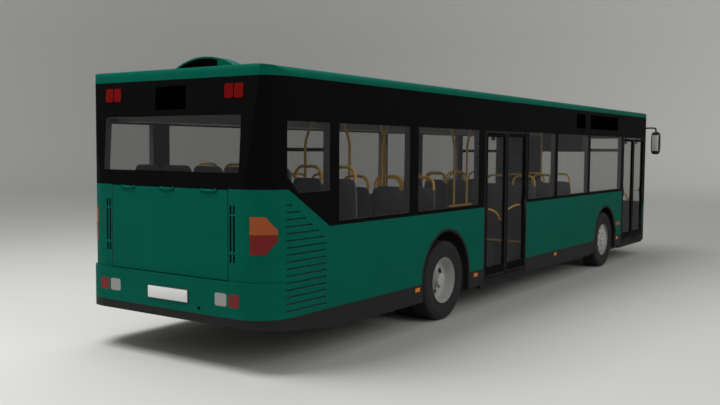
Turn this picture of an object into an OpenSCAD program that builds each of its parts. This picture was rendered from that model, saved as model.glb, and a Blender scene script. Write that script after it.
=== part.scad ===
// Low-floor city bus with two pairs of inward-gliding door leaves.
// Millimetres; X forward, Y left, Z up; ground at zero height.
// Shares along the bus: -1 rear face, 0 rear axle, 1 front axle, 2 front face.

/* [Body] */
// Width over the side panels
body_w = 2550; // [2300:10:2600]
// Distance between the axles
wheelbase = 5845; // [5000:5:7000]
// Rear bumper face behind the rear axle
rear_overhang = 3330; // [2900:10:3600]
// Front face ahead of the front axle
front_overhang = 2700; // [2500:10:2900]
// Thickness of the body walls
wall_t = 70; // [60:1:90]
// Rear corner radius in plan
rear_corner_r = 360; // [250:5:450]
// Front corner radius in plan
front_corner_r = 400; // [300:5:500]
// Radius of the bowed front in plan
front_bow_r = 6000; // [4000:100:12000]
// Rear bumper ahead of the panels above it
bumper_proud = 25; // [10:1:40]
// Overrun of cutting shapes
over = 20; // [5:1:40]

/* [Heights] */
// Lower edge of the skirts
skirt_z = 300; // [250:5:350]
// Lower edge of the skirt at the tail
tail_z = 430; // [350:5:470]
// Skirt top and lower edge of the coloured sides
panel_z = 510; // [470:5:560]
// Top of the rear bumper
crease_z = 840; // [750:5:900]
// Waist line between the coloured sides and the black band
waist_z = 1315; // [1200:5:1400]
// Waist line around the rear quarters
quarter_z = 1690; // [1600:5:1750]
// Top of the black band
band_z = 2715; // [2650:5:2760]
// Roof crown
roof_z = 2870; // [2830:5:2950]
// Low floor
floor_z = 330; // [310:5:370]
// Thickness of the floor
floor_t = 80; // [60:5:100]
// Ceiling underside
ceiling_z = 2600; // [2500:5:2650]
// Front bumper lower edge
nose_z = 285; // [260:5:300]
// Front bumper top
nose_panel_z = 555; // [520:5:600]
// Lower edge of the black front
front_black_z = 980; // [900:5:1050]

/* [Roof] */
// Thickness of the roof shell
roof_t = 50; // [40:1:60]
// Radius of the roof across the bus
roof_crown_r = 11500; // [8000:100:14000]
// Radius of the roof edges
roof_edge_r = 100; // [80:5:110]
// Height of the roof edge rounding above the band
roof_edge_rise = 95; // [80:5:110]
// Roof fall towards the tail, highest point along the bus
roof_fall_share = -0.66;
// Radius of the roof fall
roof_fall_r = 8000; // [6000:100:12000]
// Roof fall above the crown at its highest point
roof_fall_rise = 15; // [10:1:25]
// Thickness of the ceiling
ceiling_t = 25; // [15:1:40]
// Inboard width of the side air ducts
duct_w = 330; // [250:10:400]
// Underside of the side air ducts
duct_z = 2335; // [2330:5:2400]
// Roof cowl, rear and front end along the bus
cowl_shares = [-0.841, -0.795];
// Roof cowl half width
cowl_half_w = 420; // [300:10:500]
// Roof cowl top
cowl_z = 2975; // [2940:5:3000]
// Roof cowl foot below the crown
cowl_sink = 5; // [2:1:10]
// Rim round the mouth of the roof cowl
cowl_rim = 18; // [12:1:25]
// Closed front of the roof cowl
cowl_back = 40; // [25:1:60]
// Mouth of the roof cowl across the bus, right and left edge
cowl_mouth = [-190, 360];

/* [Windows] */
// Lower edge of the side glass
sill_z = 1358; // [1320:2:1450]
// Upper edge of the side glass
head_z = 2314; // [2200:2:2322]
// Glass thickness
glass_t = 8; // [5:1:12]
// Glass set back from the outer face
glass_in = 4; // [2:1:8]
// Corner radius of the openings
window_r = 15; // [10:1:40]
// Right openings, rear and front end along the bus
right_window_shares = [[-0.6706, -0.2697], [-0.2114, 0.1381], [0.4111, 0.5815],
  [0.6021, 0.8361], [0.853, 1.3033]];
// Left openings, rear and front end along the bus
left_window_shares = [[-0.645, -0.2402], [-0.1952, 0.1523], [0.1796, 0.4038],
  [0.432, 0.5937], [0.6217, 0.8448], [0.8754, 1.3167], [1.3722, 1.7981]];
// Rearmost quarter windows, rear and front end along the bus
quarter_shares = [-0.908, -0.7174];
// Lower edge of the quarter windows
quarter_sill_z = 1658; // [1600:2:1750]
// Slanted lower corner of the quarter windows
quarter_cut = 150; // [100:5:200]
// Slanted upper corner of the quarter windows, as a share of the corner radius
quarter_share = 0.6;
// Waist slant of the rear quarters, upper and lower end along the bus
slant_shares = [-0.9048, -0.7162];
// Rear window half width
rear_glass_half_w = 925; // [800:5:940]
// Rear window lower edge
rear_sill_z = 1838; // [1800:2:1900]
// Rear window upper edge
rear_head_z = 2366; // [2300:2:2400]
// Windscreen half width
screen_half_w = 1130; // [1000:5:1180]
// Windscreen lower edge
screen_sill_z = 1040; // [1010:5:1100]
// Windscreen upper edge
screen_head_z = 2310; // [2200:5:2350]

/* [Doors] */
// Middle and front doorway, rear and front end along the bus
door_shares = [[0.1692, 0.4029], [1.3348, 1.8356]];
// Width of the dark edge round each doorway
flange_w = 36; // [34:1:45]
// Thickness of the wall edge round each doorway
flange_t = 18; // [15:1:20]
// Reach of the thinned wall beyond each doorway
rebate = 50; // [48:1:70]
// Door turning line inside the outer face
door_line = 45; // [44:1:50]
// Post axis inside the doorway edge
post_in = 6; // [4:1:10]
// Post radius
post_r = 16; // [14:0.5:16]
// Arm pin radius
pin_r = 8; // [6:0.5:9]
// Radial running clearance of shafts in their bores
run_gap = 0.05; // [0.02:0.01:0.08]
// Arm width
arm_w = 32; // [24:1:34]
// Arm thickness
arm_t = 20; // [16:1:22]
// Leaf thickness
leaf_t = 38; // [34:1:38]
// Gap round each leaf
leaf_gap = 8; // [6:1:10]
// Leaf lower edge
leaf_z = 375; // [370:1:390]
// Leaf upper edge
leaf_top_z = 2285; // [2250:1:2285]
// Set-back of each leading edge
lead_gap = 6; // [5:1:10]
// Width of the leaf frame
stile = 52; // [40:1:70]
// Leaf bracket beyond the turning line, as a share of the arm width
bracket_share = 0.65;
// Depth of the post bores
bore_depth = 40; // [30:1:45]
// Depth of the arm pins in the leaf
pin_depth = 45; // [30:1:60]
// Height of the glazed part of a leaf above its lower edge
leaf_panel_h = 135; // [100:5:200]

/* [Wheels] */
// Tyre outer radius
tyre_r = 482; // [460:1:500]
// Tyre width
tyre_w = 276; // [250:1:290]
// Bead seat radius
rim_r = 286; // [270:1:300]
// Rim flange radius
rim_lip_r = 300; // [290:1:315]
// Rounding of the tyre shoulders
shoulder_r = 42; // [25:1:60]
// Outer face of the tyres inside the body side
tyre_in = 30; // [20:1:50]
// Gap between twin tyres
twin_gap = 34; // [30:1:60]
// Wheel arch radius, rear
rear_arch_r = 570; // [550:5:600]
// Wheel arch radius, front
front_arch_r = 550; // [545:5:600]
// Wheel arch centre height
arch_z = 510; // [480:5:520]
// Width of the arch lips
lip_w = 35; // [25:1:50]
// Wheel box half length
box_half_l = 600; // [590:5:640]
// Wheel box inner face from the middle of the bus
box_y = 580; // [560:5:600]
// Wheel box sheet
box_t = 18; // [12:1:20]
// Wheel box top
box_z = 1108; // [1100:2:1150]
// Kingpin distance from the middle of the bus
king_y = 980; // [960:5:1000]
// Kingpin radius
king_r = 22; // [18:1:26]
// Axle fist radius
fist_r = 45; // [40:1:48]
// Half height of an axle fist as a share of its radius
fist_share = 1.55;
// Front axle upright from the middle of the bus
arm_y = 790; // [740:5:800]
// Thickness of the axle uprights
beam_t = 90; // [70:5:110]
// Underside of the axle beams
beam_z = 150; // [140:5:180]
// Air spring pads above the beams
pad_t = 15; // [10:1:30]
// Rear wheel carrier beyond the wheel box
carrier_w = 70; // [60:1:72]
// Rear wheel carrier radius
carrier_r = 150; // [120:5:180]
// Rear wheel carrier end inside the wheel middle
hub_in = 150; // [120:5:180]
// Engine, rear and front end along the bus
engine_shares = [-0.9, -0.38];
// Engine half width
engine_half_w = 450; // [350:10:550]
// Engine underside
engine_z = 400; // [350:10:450]
// Knuckle thickness
knuckle_t = 30; // [20:1:34]
// Stub axle end beyond the wheel middle, as a share of the tyre width
stub_share = 0.27;
// Hand hole radius
hole_r = 27; // [20:1:32]
// Hand hole ring, as a share of the bead seat radius
hole_share = 0.76;
// Number of hand holes
hole_n = 10; // [6:1:12]
// Rim section: shares of the bead seat radius and of half the tyre width
barrel_shares = [[0.95, -0.9], [1.05, -0.9], [1.05, -0.83], [1, -0.83], [1, 0.83], [1.05, 0.83],
  [1.05, 0.9], [0.95, 0.9]];
// Front wheel disc: shares of the bead seat radius and of half the tyre width
front_disc_shares = [[0, -0.2], [0.34, -0.2], [0.34, 0.55], [0.62, 0.68], [0.96, 0.48], [0.96, 0.66],
  [0.66, 0.88], [0.4, 0.92], [0.34, 1.05], [0, 1.1]];
// Twin wheel disc: shares of the bead seat radius and of half the tyre width
twin_disc_shares = [[0, -0.9], [0.4, -0.9], [0.4, -0.2], [0.96, -0.1], [0.96, 0.1], [0.6, 0.1],
  [0.46, 0.2], [0.44, 0.75], [0.34, 0.95], [0, 1]];
// Stub axle radius
stub_r = 40; // [34:1:44]

/* [Tail] */
// Lean of the tail above the waist
tail_lean_deg = 3.6; // [0:0.2:6]
// Start of the rising skirt along the bus
tail_rise_share = -0.66;
// Engine lid half width
lid_half_w = 795; // [700:5:800]
// Engine lid lower edge
lid_z = 850; // [845:1:900]
// Engine lid thickness
lid_t = 40; // [25:1:50]
// Lid hinge pin radius
lid_pin_r = 7; // [5:0.5:9]
// Lid hinge knuckle radius
lid_knuckle_r = 14; // [12:0.5:16]
// Lid hinge knuckle length
lid_knuckle_l = 120; // [80:5:160]
// Lid hinge places across the bus, as shares of the lid half width
lid_hinge_shares = [-0.7, 0, 0.7];
// Gap round the lid
lid_gap = 10; // [6:1:15]
// Width of the fixed hinge lugs
lug_w = 30; // [20:1:40]
// Tail lamp lower edge
tail_lamp_z = 1100; // [1080:5:1150]
// Tail lamp height
tail_lamp_h = 346; // [300:2:400]
// Tail lamp parting between the two lenses, as a share of its height
tail_lamp_share = 0.52;
// Seam between the two lenses
lamp_seam = 4; // [3:0.5:6]
// Cut outer corners of a tail lamp, as a share of its height
lamp_cut_share = 0.36;
// Angles of a tail lamp round the corner
tail_lamp_deg = [21, 62];
// Angle round the corner where the cut corners of a tail lamp begin
lamp_turn_deg = 44; // [35:1:55]
// Thickness of the lamps
lamp_t = 30; // [20:1:40]
// Lamps stand proud by
lamp_proud = 4; // [2:1:6]
// Tow socket radius
tow_r = 20; // [15:0.5:25]
// Tow socket depth
tow_depth = 55; // [40:1:60]
// Tow socket heights, rear and front
tow_heights = [560, 420];
// Rear tow socket from the middle of the bus, towards the right
tow_y = 450; // [300:10:550]
// Lamps on the flat tail: inner edge, outer edge, lower edge, upper edge
flat_lamps = [[712, 818, 2520, 2655], [832, 942, 2520, 2655]];
// Bumper lamps: inner edge, outer edge, lower edge, upper edge
bumper_lamps = [[655, 802, 613, 733], [828, 957, 613, 733]];
// Rounding of the flat lamps
lamp_r = 22; // [10:1:30]
// Rear sign half width
rear_sign_half_w = 210; // [150:5:300]
// Rear sign lower edge
rear_sign_z = 2430; // [2400:5:2500]
// Sign top edge
sign_top_z = 2655; // [2600:5:2680]
// Slot lines of the tail from the middle of the bus
slot_lines = [832, 874];
// Slot width
slot_w = 22; // [15:1:30]
// Slot pieces: lower edge, upper edge
slot_runs = [[1018, 1098], [1120, 1446], [1464, 1542]];
// Slot depth
slot_depth = 25; // [15:1:35]
// Louvre field, rear and front end along the bus
louvre_shares = [-0.9114, -0.7312];
// Lowest louvre
louvre_z = 565; // [540:5:620]
// Louvre spacing
louvre_pitch = 65; // [50:1:80]
// Number of louvres
louvre_n = 16; // [8:1:20]
// Louvre slot height
louvre_h = 14; // [8:1:24]
// Height where the louvres begin to shorten
louvre_cut_z = 1200; // [1100:5:1300]
// Louvre shortening for each unit of height
louvre_cut_share = 1.55;

/* [Signs and lamps] */
// Right side sign, rear and front end along the bus
side_sign_shares = [[0.7357, 0.8058], [0.8491, 1.2056]];
// Side sign lower edge
side_sign_z = 2420; // [2400:5:2480]
// Front sign half width
front_sign_half_w = 850; // [700:5:950]
// Front sign lower edge
front_sign_z = 2390; // [2360:5:2450]
// Sign plate thickness
sign_t = 20; // [10:1:30]
// Side markers along the bus
marker_shares = [-0.2093, 0.1309, 0.5967, 1.247];
// Side marker length
marker_l = 100; // [60:5:140]
// Side marker height
marker_h = 46; // [30:2:60]
// Side marker lower edge
marker_z = 436; // [400:2:450]
// Headlamp inner edge from the middle of the bus
head_lamp_y = 640; // [550:10:750]
// Headlamp width
head_lamp_w = 330; // [250:10:400]
// Headlamp lower edge
head_lamp_z = 630; // [600:5:700]
// Headlamp height
head_lamp_h = 210; // [150:5:260]
// Mirror head ahead of the front face
mirror_reach = 255; // [200:5:300]
// Mirror arm root behind the front face, as a share of the corner radius
mirror_root_share = 0.86;
// Mirror head length along the bus
mirror_l = 110; // [80:5:140]
// Mirror head width
mirror_w = 180; // [140:5:240]
// Mirror head height
mirror_h = 460; // [300:10:500]
// Mirror head top
mirror_z = 2450; // [2300:5:2500]
// Mirror head beyond the body side
mirror_out = 140; // [100:5:180]
// Mirror arm radius
mirror_arm_r = 18; // [14:1:24]
// Mirror arm height above the head top
mirror_arm_up = 60; // [40:5:80]

/* [Saloon] */
// Raised floors: rear end, front end along the bus
step_shares = [[-0.915, -0.66], [-0.66, -0.36], [-0.36, -0.215], [-0.215, 0.132]];
// Raised floors: height above the low floor
step_rises = [530, 400, 230, 70];
// Raised floor thickness
step_t = 40; // [30:1:60]
// Seam between the floor panels
floor_seam = 1; // [0.5:0.5:2]
// Engine bay wall along the bus
bay_share = -0.87;
// Engine bay wall thickness
bay_t = 30; // [20:1:50]
// Seat rows on both sides: along the bus
row_shares = [-0.5405, -0.2703, -0.045, 0.497, 0.622, 0.747];
// Seat rows: cushion underside above the low floor
row_rises = [700, 778, 778, 330, 330, 330];
// Seat rows: pedestal foot above the low floor
row_feet = [400, 778, 778, 0, 0, 0];
// Seat rows: back top above the cushion underside
row_backs = [720, 515, 495, 890, 890, 890];
// Seat width
seat_w = 430; // [380:5:460]
// Gap between seats of a pair
seat_gap = 12; // [6:1:40]
// Seats of a pair inside the wall
seat_in = 20; // [10:5:60]
// Cushion depth
cushion_d = 430; // [380:5:460]
// Cushion thickness
cushion_t = 70; // [50:5:100]
// Seat back thickness
back_t = 60; // [40:5:80]
// Seat back shoulder radius
back_r = 90; // [50:5:120]
// Rear bench along the bus
bench_share = -0.83;
// Rear bench cushion underside
bench_z = 1220; // [1150:5:1260]
// Rear bench back top
bench_top_z = 1880; // [1700:5:1900]
// Rail radius
rail_r = 17; // [14:1:20]
// Seat hoop height above the seat backs
hoop_h = 140; // [80:5:160]
// Poles from the middle of the bus
pole_y = 285; // [250:5:295]
// Poles along the bus, on the right and left
pole_shares = [-0.206, 0.0094, 0.3456, 0.4106, 0.5475, 0.787];
// Pole feet above the low floor
pole_feet = [70, 70, 0, 0, 0, 0];
// Overhead rail height
rail_z = 2150; // [1950:5:2250]
// Door rail height
door_rail_z = 1290; // [1200:5:1350]

/* [Driver] */
// Partition, seat and dashboard along the bus
driver_shares = [1.27, 1.47, 1.76];
// Partition inner edge from the middle of the bus
cab_y = 260; // [200:10:400]
// Partition thickness
cab_t = 40; // [25:1:60]
// Partition top
cab_z = 2000; // [1800:10:2200]
// Driver's floor above the low floor
cab_rise = 150; // [100:5:250]
// Dashboard depth
dash_d = 480; // [350:10:550]
// Dashboard height above the driver's floor
dash_h = 620; // [500:10:700]
// Steering wheel radius
wheel_r = 225; // [200:5:250]
// Steering wheel rim radius
wheel_rim_r = 16; // [12:1:20]
// Steering column length
column_l = 190; // [150:5:260]
// Steering column lean
column_deg = 35; // [15:1:50]
// Driver's place from the middle of the bus
driver_y = 760; // [650:10:850]

/* [Hidden] */
$fn = 72;
run_from = 0;
run_to = 1;
edge_in = 0;
edge_out = 1;
edge_low = 2;
edge_high = 3;
half_w = body_w / 2;
front_x = wheelbase + front_overhang;
rear_x = -rear_overhang + bumper_proud;
x_shift = -(front_x + mirror_reach - rear_overhang) / 2;
split_share = 0.68;
split_x = round(rear_x + rear_corner_r * split_share);
nose_x = along(door_shares[1][run_to]);
header_z = leaf_top_z + leaf_gap + arm_t + leaf_gap + leaf_gap / 2;
portal_z = leaf_top_z + leaf_gap + flange_t;
arm_low_z = floor_z + leaf_gap + leaf_gap / 4;
arm_high_z = leaf_top_z + leaf_gap;
sill_top_z = leaf_z - leaf_gap;
leaf_face = door_line - glass_in;
front_wheel_y = half_w - tyre_in - tyre_w / 2;
twin_y = half_w - tyre_in - tyre_w - twin_gap / 2;
inner_y = half_w - wall_t;
leaf_start = flange_w + leaf_gap - post_in;
hinge_z = quarter_z - leaf_gap - lid_knuckle_r;
lid_top_z = hinge_z - lid_knuckle_r;
top_x = rear_x + round((band_z - quarter_z) * tan(tail_lean_deg));

// Place along the bus in whole millimetres
function along(s) = round(s < 0 ? s * rear_overhang : s <= 1 ? s * wheelbase
  : wheelbase + (s - 1) * front_overhang);

module place() {
  translate([x_shift, 0, 0]) children();
}

module box(x0, x1, y0, y1, z0, z1) {
  translate([x0, y0, z0]) cube([x1 - x0, y1 - y0, z1 - z0]);
}

// Flat shape in X and Z carried across the bus
module across(y0, y1) {
  translate([0, y1, 0]) rotate([90, 0, 0]) linear_extrude(y1 - y0) children();
}

// Flat shape in Y and Z carried along the bus
module lengthwise(x0, x1) {
  translate([x0, 0, 0]) rotate([90, 0, 90]) linear_extrude(x1 - x0) children();
}

module upright(z0, z1) {
  translate([0, 0, z0]) linear_extrude(z1 - z0) children();
}

// Rod along Y
module rod_y(x, y0, y1, z, r) {
  translate([x, y1, z]) rotate([90, 0, 0]) cylinder(r = r, h = y1 - y0);
}

// Rod along X
module rod_x(x0, x1, y, z, r) {
  translate([x0, y, z]) rotate([0, 90, 0]) cylinder(r = r, h = x1 - x0);
}

module rounded(a0, a1, b0, b1, r) {
  translate([a0 + r, b0]) square([a1 - a0 - 2 * r, b1 - b0]);
  translate([a0, b0 + r]) square([a1 - a0, b1 - b0 - 2 * r]);
  for (a = [a0 + r, a1 - r])
    for (b = [b0 + r, b1 - r])
      translate([a, b]) circle(r = r);
}

// Body outline in plan, drawn in from the outer face
module plan(inset, back = rear_x) {
  w = half_w - inset;
  rear_r = rear_corner_r - inset;
  fore_r = front_corner_r - inset;
  a = back + rear_corner_r;
  b = front_x - front_corner_r;
  intersection() {
    translate([front_x - front_bow_r, 0]) circle(r = front_bow_r - inset, $fn = 720);
    union() {
      translate([a, -w]) square([b - a, 2 * w]);
      translate([back + inset, -w + rear_r]) square([b - back - inset, 2 * (w - rear_r)]);
      translate([a, -w + fore_r]) square([front_x - inset - a, 2 * (w - fore_r)]);
      for (s = [-1, 1]) {
        translate([a, s * (w - rear_r)]) circle(r = rear_r);
        translate([b, s * (w - fore_r)]) circle(r = fore_r);
      }
    }
  }
}

module wall(z0, z1, back = rear_x) {
  upright(z0, z1) difference() {
    plan(0, back);
    plan(wall_t, back);
  }
}

module inside(z0, z1) {
  upright(z0, z1) plan(wall_t);
}

module arches(grow) {
  for (row = [[0, rear_arch_r], [wheelbase, front_arch_r]])
    translate([row[run_from], 0]) {
      translate([0, arch_z]) circle(r = row[run_to] + grow);
      translate([-row[run_to] - grow, 0]) square([2 * (row[run_to] + grow), arch_z]);
    }
}

module side_zone() {
  polygon([[split_x, panel_z], [nose_x, panel_z], [nose_x, waist_z],
    [along(slant_shares[run_to]), waist_z], [along(slant_shares[run_from]), quarter_z],
    [split_x, quarter_z]]);
}

module band_zone() {
  polygon([[along(slant_shares[run_to]), waist_z], [nose_x, waist_z], [nose_x, band_z],
    [split_x, band_z], [split_x, quarter_z], [along(slant_shares[run_from]), quarter_z]]);
}

module doorways() {
  for (d = door_shares) {
    x0 = along(d[run_from]);
    x1 = along(d[run_to]);
    box(x0, x1, -half_w - over, -inner_y + over, -over, portal_z);
    box(x0 - rebate, x1 + rebate, -half_w + flange_t, -inner_y + over, -over, header_z);
  }
}

module at_posts() {
  for (d = door_shares)
    for (x = [along(d[run_from]) + post_in, along(d[run_to]) - post_in])
      translate([x, -half_w + door_line, 0]) children();
}

module post_bores(z0, z1) {
  at_posts() translate([0, 0, z0]) cylinder(r = post_r + run_gap, h = z1 - z0);
}

module tail_only() {
  intersection() {
    children();
    box(-rear_overhang - over, split_x, -half_w - over, half_w + over, 0, roof_z);
  }
}

module nose_only() {
  intersection() {
    children();
    box(nose_x, front_x + over, -half_w - over, half_w + over, 0, roof_z);
  }
}

module louvres() {
  for (i = [0 : louvre_n - 1]) {
    z = louvre_z + i * louvre_pitch;
    cut = along(louvre_shares[run_to]) - max(0, z - louvre_cut_z) * louvre_cut_share;
    box(along(louvre_shares[run_from]), cut, -half_w - over, -half_w + slot_depth, z, z + louvre_h);
  }
}

module side_panels() {
  difference() {
    intersection() {
      wall(panel_z, quarter_z);
      across(-half_w - over, -over) side_zone();
    }
    across(-half_w - over, -inner_y + over) arches(lip_w);
  }
}

module side_panels_right() {
  color([0, 0.32, 0.24]) place() difference() {
    side_panels();
    doorways();
    louvres();
  }
}

module side_panels_left() {
  color([0, 0.32, 0.24]) place() mirror([0, 1, 0]) side_panels();
}

module markers(depth) {
  for (s = marker_shares)
    for (m = [0, 1])
      mirror([0, m, 0]) across(-half_w - lamp_proud, -half_w + depth)
        translate([along(s) - marker_l / 2, marker_z]) square([marker_l, marker_h]);
}

module skirts() {
  rise = along(tail_rise_share);
  color([0.15, 0.15, 0.15]) place() difference() {
    union() {
      intersection() {
        wall(skirt_z, panel_z);
        box(split_x, nose_x, -half_w - over, half_w + over, 0, panel_z);
      }
      tail_only() wall(skirt_z, panel_z, -rear_overhang);
    }
    across(-half_w - over, half_w + over) arches(lip_w);
    across(-half_w - over, half_w + over)
      polygon([[-rear_overhang - over, 0], [rise, 0], [rise, skirt_z],
        [-rear_overhang - over, tail_z]]);
    doorways();
    markers(lamp_t);
  }
}

module arch_lips() {
  color([0.16, 0.16, 0.16]) place() for (m = [0, 1]) mirror([0, m, 0]) difference() {
    across(-half_w, -inner_y) arches(lip_w);
    across(-half_w - over, -inner_y + over) arches(0);
    box(-rear_overhang, front_x, -half_w - over, -inner_y + over, -arch_z, skirt_z);
  }
}

// The rear edge of this opening lies on the rounded corner and stays straight
module quarter_opening() {
  x0 = along(quarter_shares[run_from]);
  back = 2 * window_r;
  cut = window_r * quarter_share;
  difference() {
    rounded(x0 - back, along(quarter_shares[run_to]), quarter_sill_z, head_z, window_r);
    translate([x0 - 2 * back, 0]) square([2 * back, roof_z]);
    polygon([[x0 - over, quarter_sill_z - over], [x0 + quarter_cut + over, quarter_sill_z - over],
      [x0 - over, quarter_sill_z + quarter_cut + over]]);
    polygon([[x0 - over, head_z + over], [x0 + cut + over, head_z + over],
      [x0 - over, head_z - cut - over]]);
  }
}

module side_openings(rows) {
  quarter_opening();
  for (w = rows)
    rounded(along(w[run_from]), along(w[run_to]), sill_z, head_z, window_r);
}

module side_signs(out) {
  for (s = side_sign_shares)
    box(along(s[run_from]), along(s[run_to]), -half_w - out, -half_w + sign_t, side_sign_z, sign_top_z);
}

module window_band(rows) {
  difference() {
    intersection() {
      wall(waist_z, band_z);
      across(-half_w - over, -over) band_zone();
    }
    across(-half_w - over, -inner_y + wall_t) side_openings(rows);
  }
}

module window_band_right() {
  color([0.06, 0.06, 0.06]) place() difference() {
    window_band(right_window_shares);
    doorways();
    post_bores(header_z - over, header_z + bore_depth);
    side_signs(over);
  }
}

module window_band_left() {
  color([0.06, 0.06, 0.06]) place() mirror([0, 1, 0]) window_band(left_window_shares);
}

module pane(z0, z1) {
  upright(z0, z1) difference() {
    plan(glass_in);
    plan(glass_in + glass_t);
  }
}

module side_panes(rows) {
  intersection() {
    pane(sill_z - over, head_z + over);
    across(-half_w, -inner_y + wall_t) side_openings(rows);
  }
}

module side_glass() {
  color([0.1, 0.12, 0.12, 0.6]) place() {
    side_panes(right_window_shares);
    mirror([0, 1, 0]) side_panes(left_window_shares);
  }
}

module door_frames() {
  color([0.14, 0.14, 0.14]) place() for (d = door_shares) {
    x0 = along(d[run_from]);
    x1 = along(d[run_to]);
    difference() {
      box(x0, x1, -half_w, -half_w + flange_t, skirt_z, portal_z);
      box(x0 + flange_w, x1 - flange_w, -half_w - over, 0, sill_top_z, leaf_top_z + leaf_gap);
    }
  }
}

module roof_section(inset) {
  w = half_w - inset;
  r = roof_edge_r - inset;
  top = band_z + roof_edge_rise - inset;
  intersection() {
    translate([0, roof_z - roof_crown_r]) circle(r = roof_crown_r - inset, $fn = 720);
    union() {
      translate([-w, 0]) square([2 * w, top - r]);
      translate([-w + r, 0]) square([2 * (w - r), roof_z]);
      for (s = [-1, 1])
        translate([s * (w - r), top - r]) circle(r = r);
    }
  }
}

module roof_profile(inset) {
  a = top_x + roof_edge_r;
  b = front_x - roof_edge_r;
  r = roof_edge_r - inset;
  top = roof_z - inset;
  fall = along(roof_fall_share);
  intersection() {
    union() {
      translate([a, 0]) square([b - a, top]);
      translate([top_x + inset, 0]) square([front_x - top_x - 2 * inset, top - r]);
      for (x = [a, b])
        translate([x, top - r]) circle(r = r);
    }
    union() {
      translate([fall, 0]) square([front_x - fall, roof_z]);
      translate([fall, roof_z + roof_fall_rise - roof_fall_r]) circle(r = roof_fall_r - inset, $fn = 720);
    }
  }
}

module roof_solid(inset, z0) {
  intersection() {
    upright(z0, roof_z + over) plan(inset);
    lengthwise(rear_x - over, front_x + over) roof_section(inset);
    across(-half_w - over, half_w + over) roof_profile(inset);
  }
}

module roof() {
  color([0, 0.32, 0.24]) place() difference() {
    roof_solid(0, band_z);
    roof_solid(roof_t, band_z - over);
  }
}

module cowl_arch(inset) {
  foot = roof_z - cowl_sink;
  h = cowl_z - foot;
  r = (cowl_half_w * cowl_half_w + h * h) / (2 * h);
  intersection() {
    translate([0, cowl_z - r]) circle(r = r - inset, $fn = 360);
    translate([-cowl_half_w, band_z]) square([2 * cowl_half_w, cowl_z - band_z]);
  }
}

module roof_cowl() {
  x0 = along(cowl_shares[run_from]);
  x1 = along(cowl_shares[run_to]);
  color([0, 0.32, 0.24]) place() difference() {
    lengthwise(x0, x1) cowl_arch(0);
    lengthwise(x0 - over, x1 - cowl_back) intersection() {
      cowl_arch(cowl_rim);
      translate([cowl_mouth[run_from], 0]) square([cowl_mouth[run_to] - cowl_mouth[run_from], cowl_z]);
    }
    roof_solid(0, band_z);
  }
}

module ceiling() {
  color([0.7, 0.7, 0.68]) place() {
    difference() {
      inside(ceiling_z, ceiling_z + ceiling_t);
      lean() box(rear_x - wall_t, rear_x + wall_t, -half_w, half_w, quarter_z, band_z + wall_t);
    }
    for (m = [0, 1])
      mirror([0, m, 0]) box(along(bay_share), nose_x, inner_y - duct_w, inner_y, duct_z, ceiling_z);
  }
}

module flat_zone(row) {
  for (s = [0, 1])
    mirror([s, 0]) rounded(row[edge_in], row[edge_out], row[edge_low], row[edge_high], lamp_r);
}

// Sector of a rear corner taken up by its tail lamp
module lamp_sector() {
  reach = 2 * rear_corner_r;
  a = rear_x + rear_corner_r;
  b = half_w - rear_corner_r;
  for (m = [0, 1])
    mirror([0, m]) polygon([[a, -b],
      [a - reach * cos(tail_lamp_deg[run_from]), -b - reach * sin(tail_lamp_deg[run_from])],
      [a - reach * cos(tail_lamp_deg[run_to]), -b - reach * sin(tail_lamp_deg[run_to])]]);
}

// Tail lamp seen from behind, with its two outer corners cut
module lamp_outline() {
  b = half_w - rear_corner_r;
  turn = b + rear_corner_r * sin(lamp_turn_deg);
  end = b + rear_corner_r * sin(tail_lamp_deg[run_to]) + lamp_proud;
  low = tail_lamp_z;
  high = tail_lamp_z + tail_lamp_h;
  cut = tail_lamp_h * lamp_cut_share;
  for (s = [0, 1])
    mirror([s, 0]) polygon([[0, low], [turn, low], [end, low + cut], [end, high - cut],
      [turn, high], [0, high]]);
}

module lamp_shell(out) {
  intersection() {
    upright(tail_lamp_z, tail_lamp_z + tail_lamp_h) intersection() {
      difference() {
        plan(-out);
        plan(lamp_t);
      }
      lamp_sector();
    }
    lengthwise(rear_x - 2 * over, rear_x + rear_corner_r) lamp_outline();
  }
}

// Turns the flat tail above the waist forward about its lower edge
module lean() {
  translate([rear_x, 0, quarter_z]) rotate([0, tail_lean_deg, 0])
    translate([-rear_x, 0, -quarter_z]) children();
}

module lid_hinges() {
  for (s = lid_hinge_shares)
    translate([rear_x - lamp_proud, s * lid_half_w, hinge_z]) children();
}

module rear_corners() {
  color([0, 0.32, 0.24]) place() difference() {
    tail_only() wall(crease_z, quarter_z);
    box(rear_x - over, rear_x + wall_t + over, -lid_half_w - lid_gap, lid_half_w + lid_gap,
      crease_z - over, quarter_z + over);
    for (m = [0, 1])
      mirror([0, m, 0]) for (y = slot_lines)
        for (r = slot_runs)
          box(rear_x - over, rear_x + slot_depth, y - slot_w / 2, y + slot_w / 2,
            r[run_from], r[run_to]);
    lamp_shell(over);
  }
}

module engine_lid() {
  notch = lid_knuckle_l / 2 + leaf_gap + lug_w + leaf_gap;
  color([0, 0.32, 0.24]) place() difference() {
    union() {
      difference() {
        box(rear_x, rear_x + lid_t, -lid_half_w, lid_half_w, lid_z, quarter_z - leaf_gap);
        lid_hinges() box(-over, lid_t + over, -notch, notch, -lid_knuckle_r, quarter_z);
      }
      lid_hinges() {
        rod_y(0, -lid_knuckle_l / 2, lid_knuckle_l / 2, 0, lid_knuckle_r);
        box(lamp_proud, lid_knuckle_r, -lid_knuckle_l / 2, lid_knuckle_l / 2, -lid_t, 0);
      }
    }
    lid_hinges() rod_y(0, -lid_knuckle_l, lid_knuckle_l, 0, lid_pin_r + run_gap);
  }
}

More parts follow.
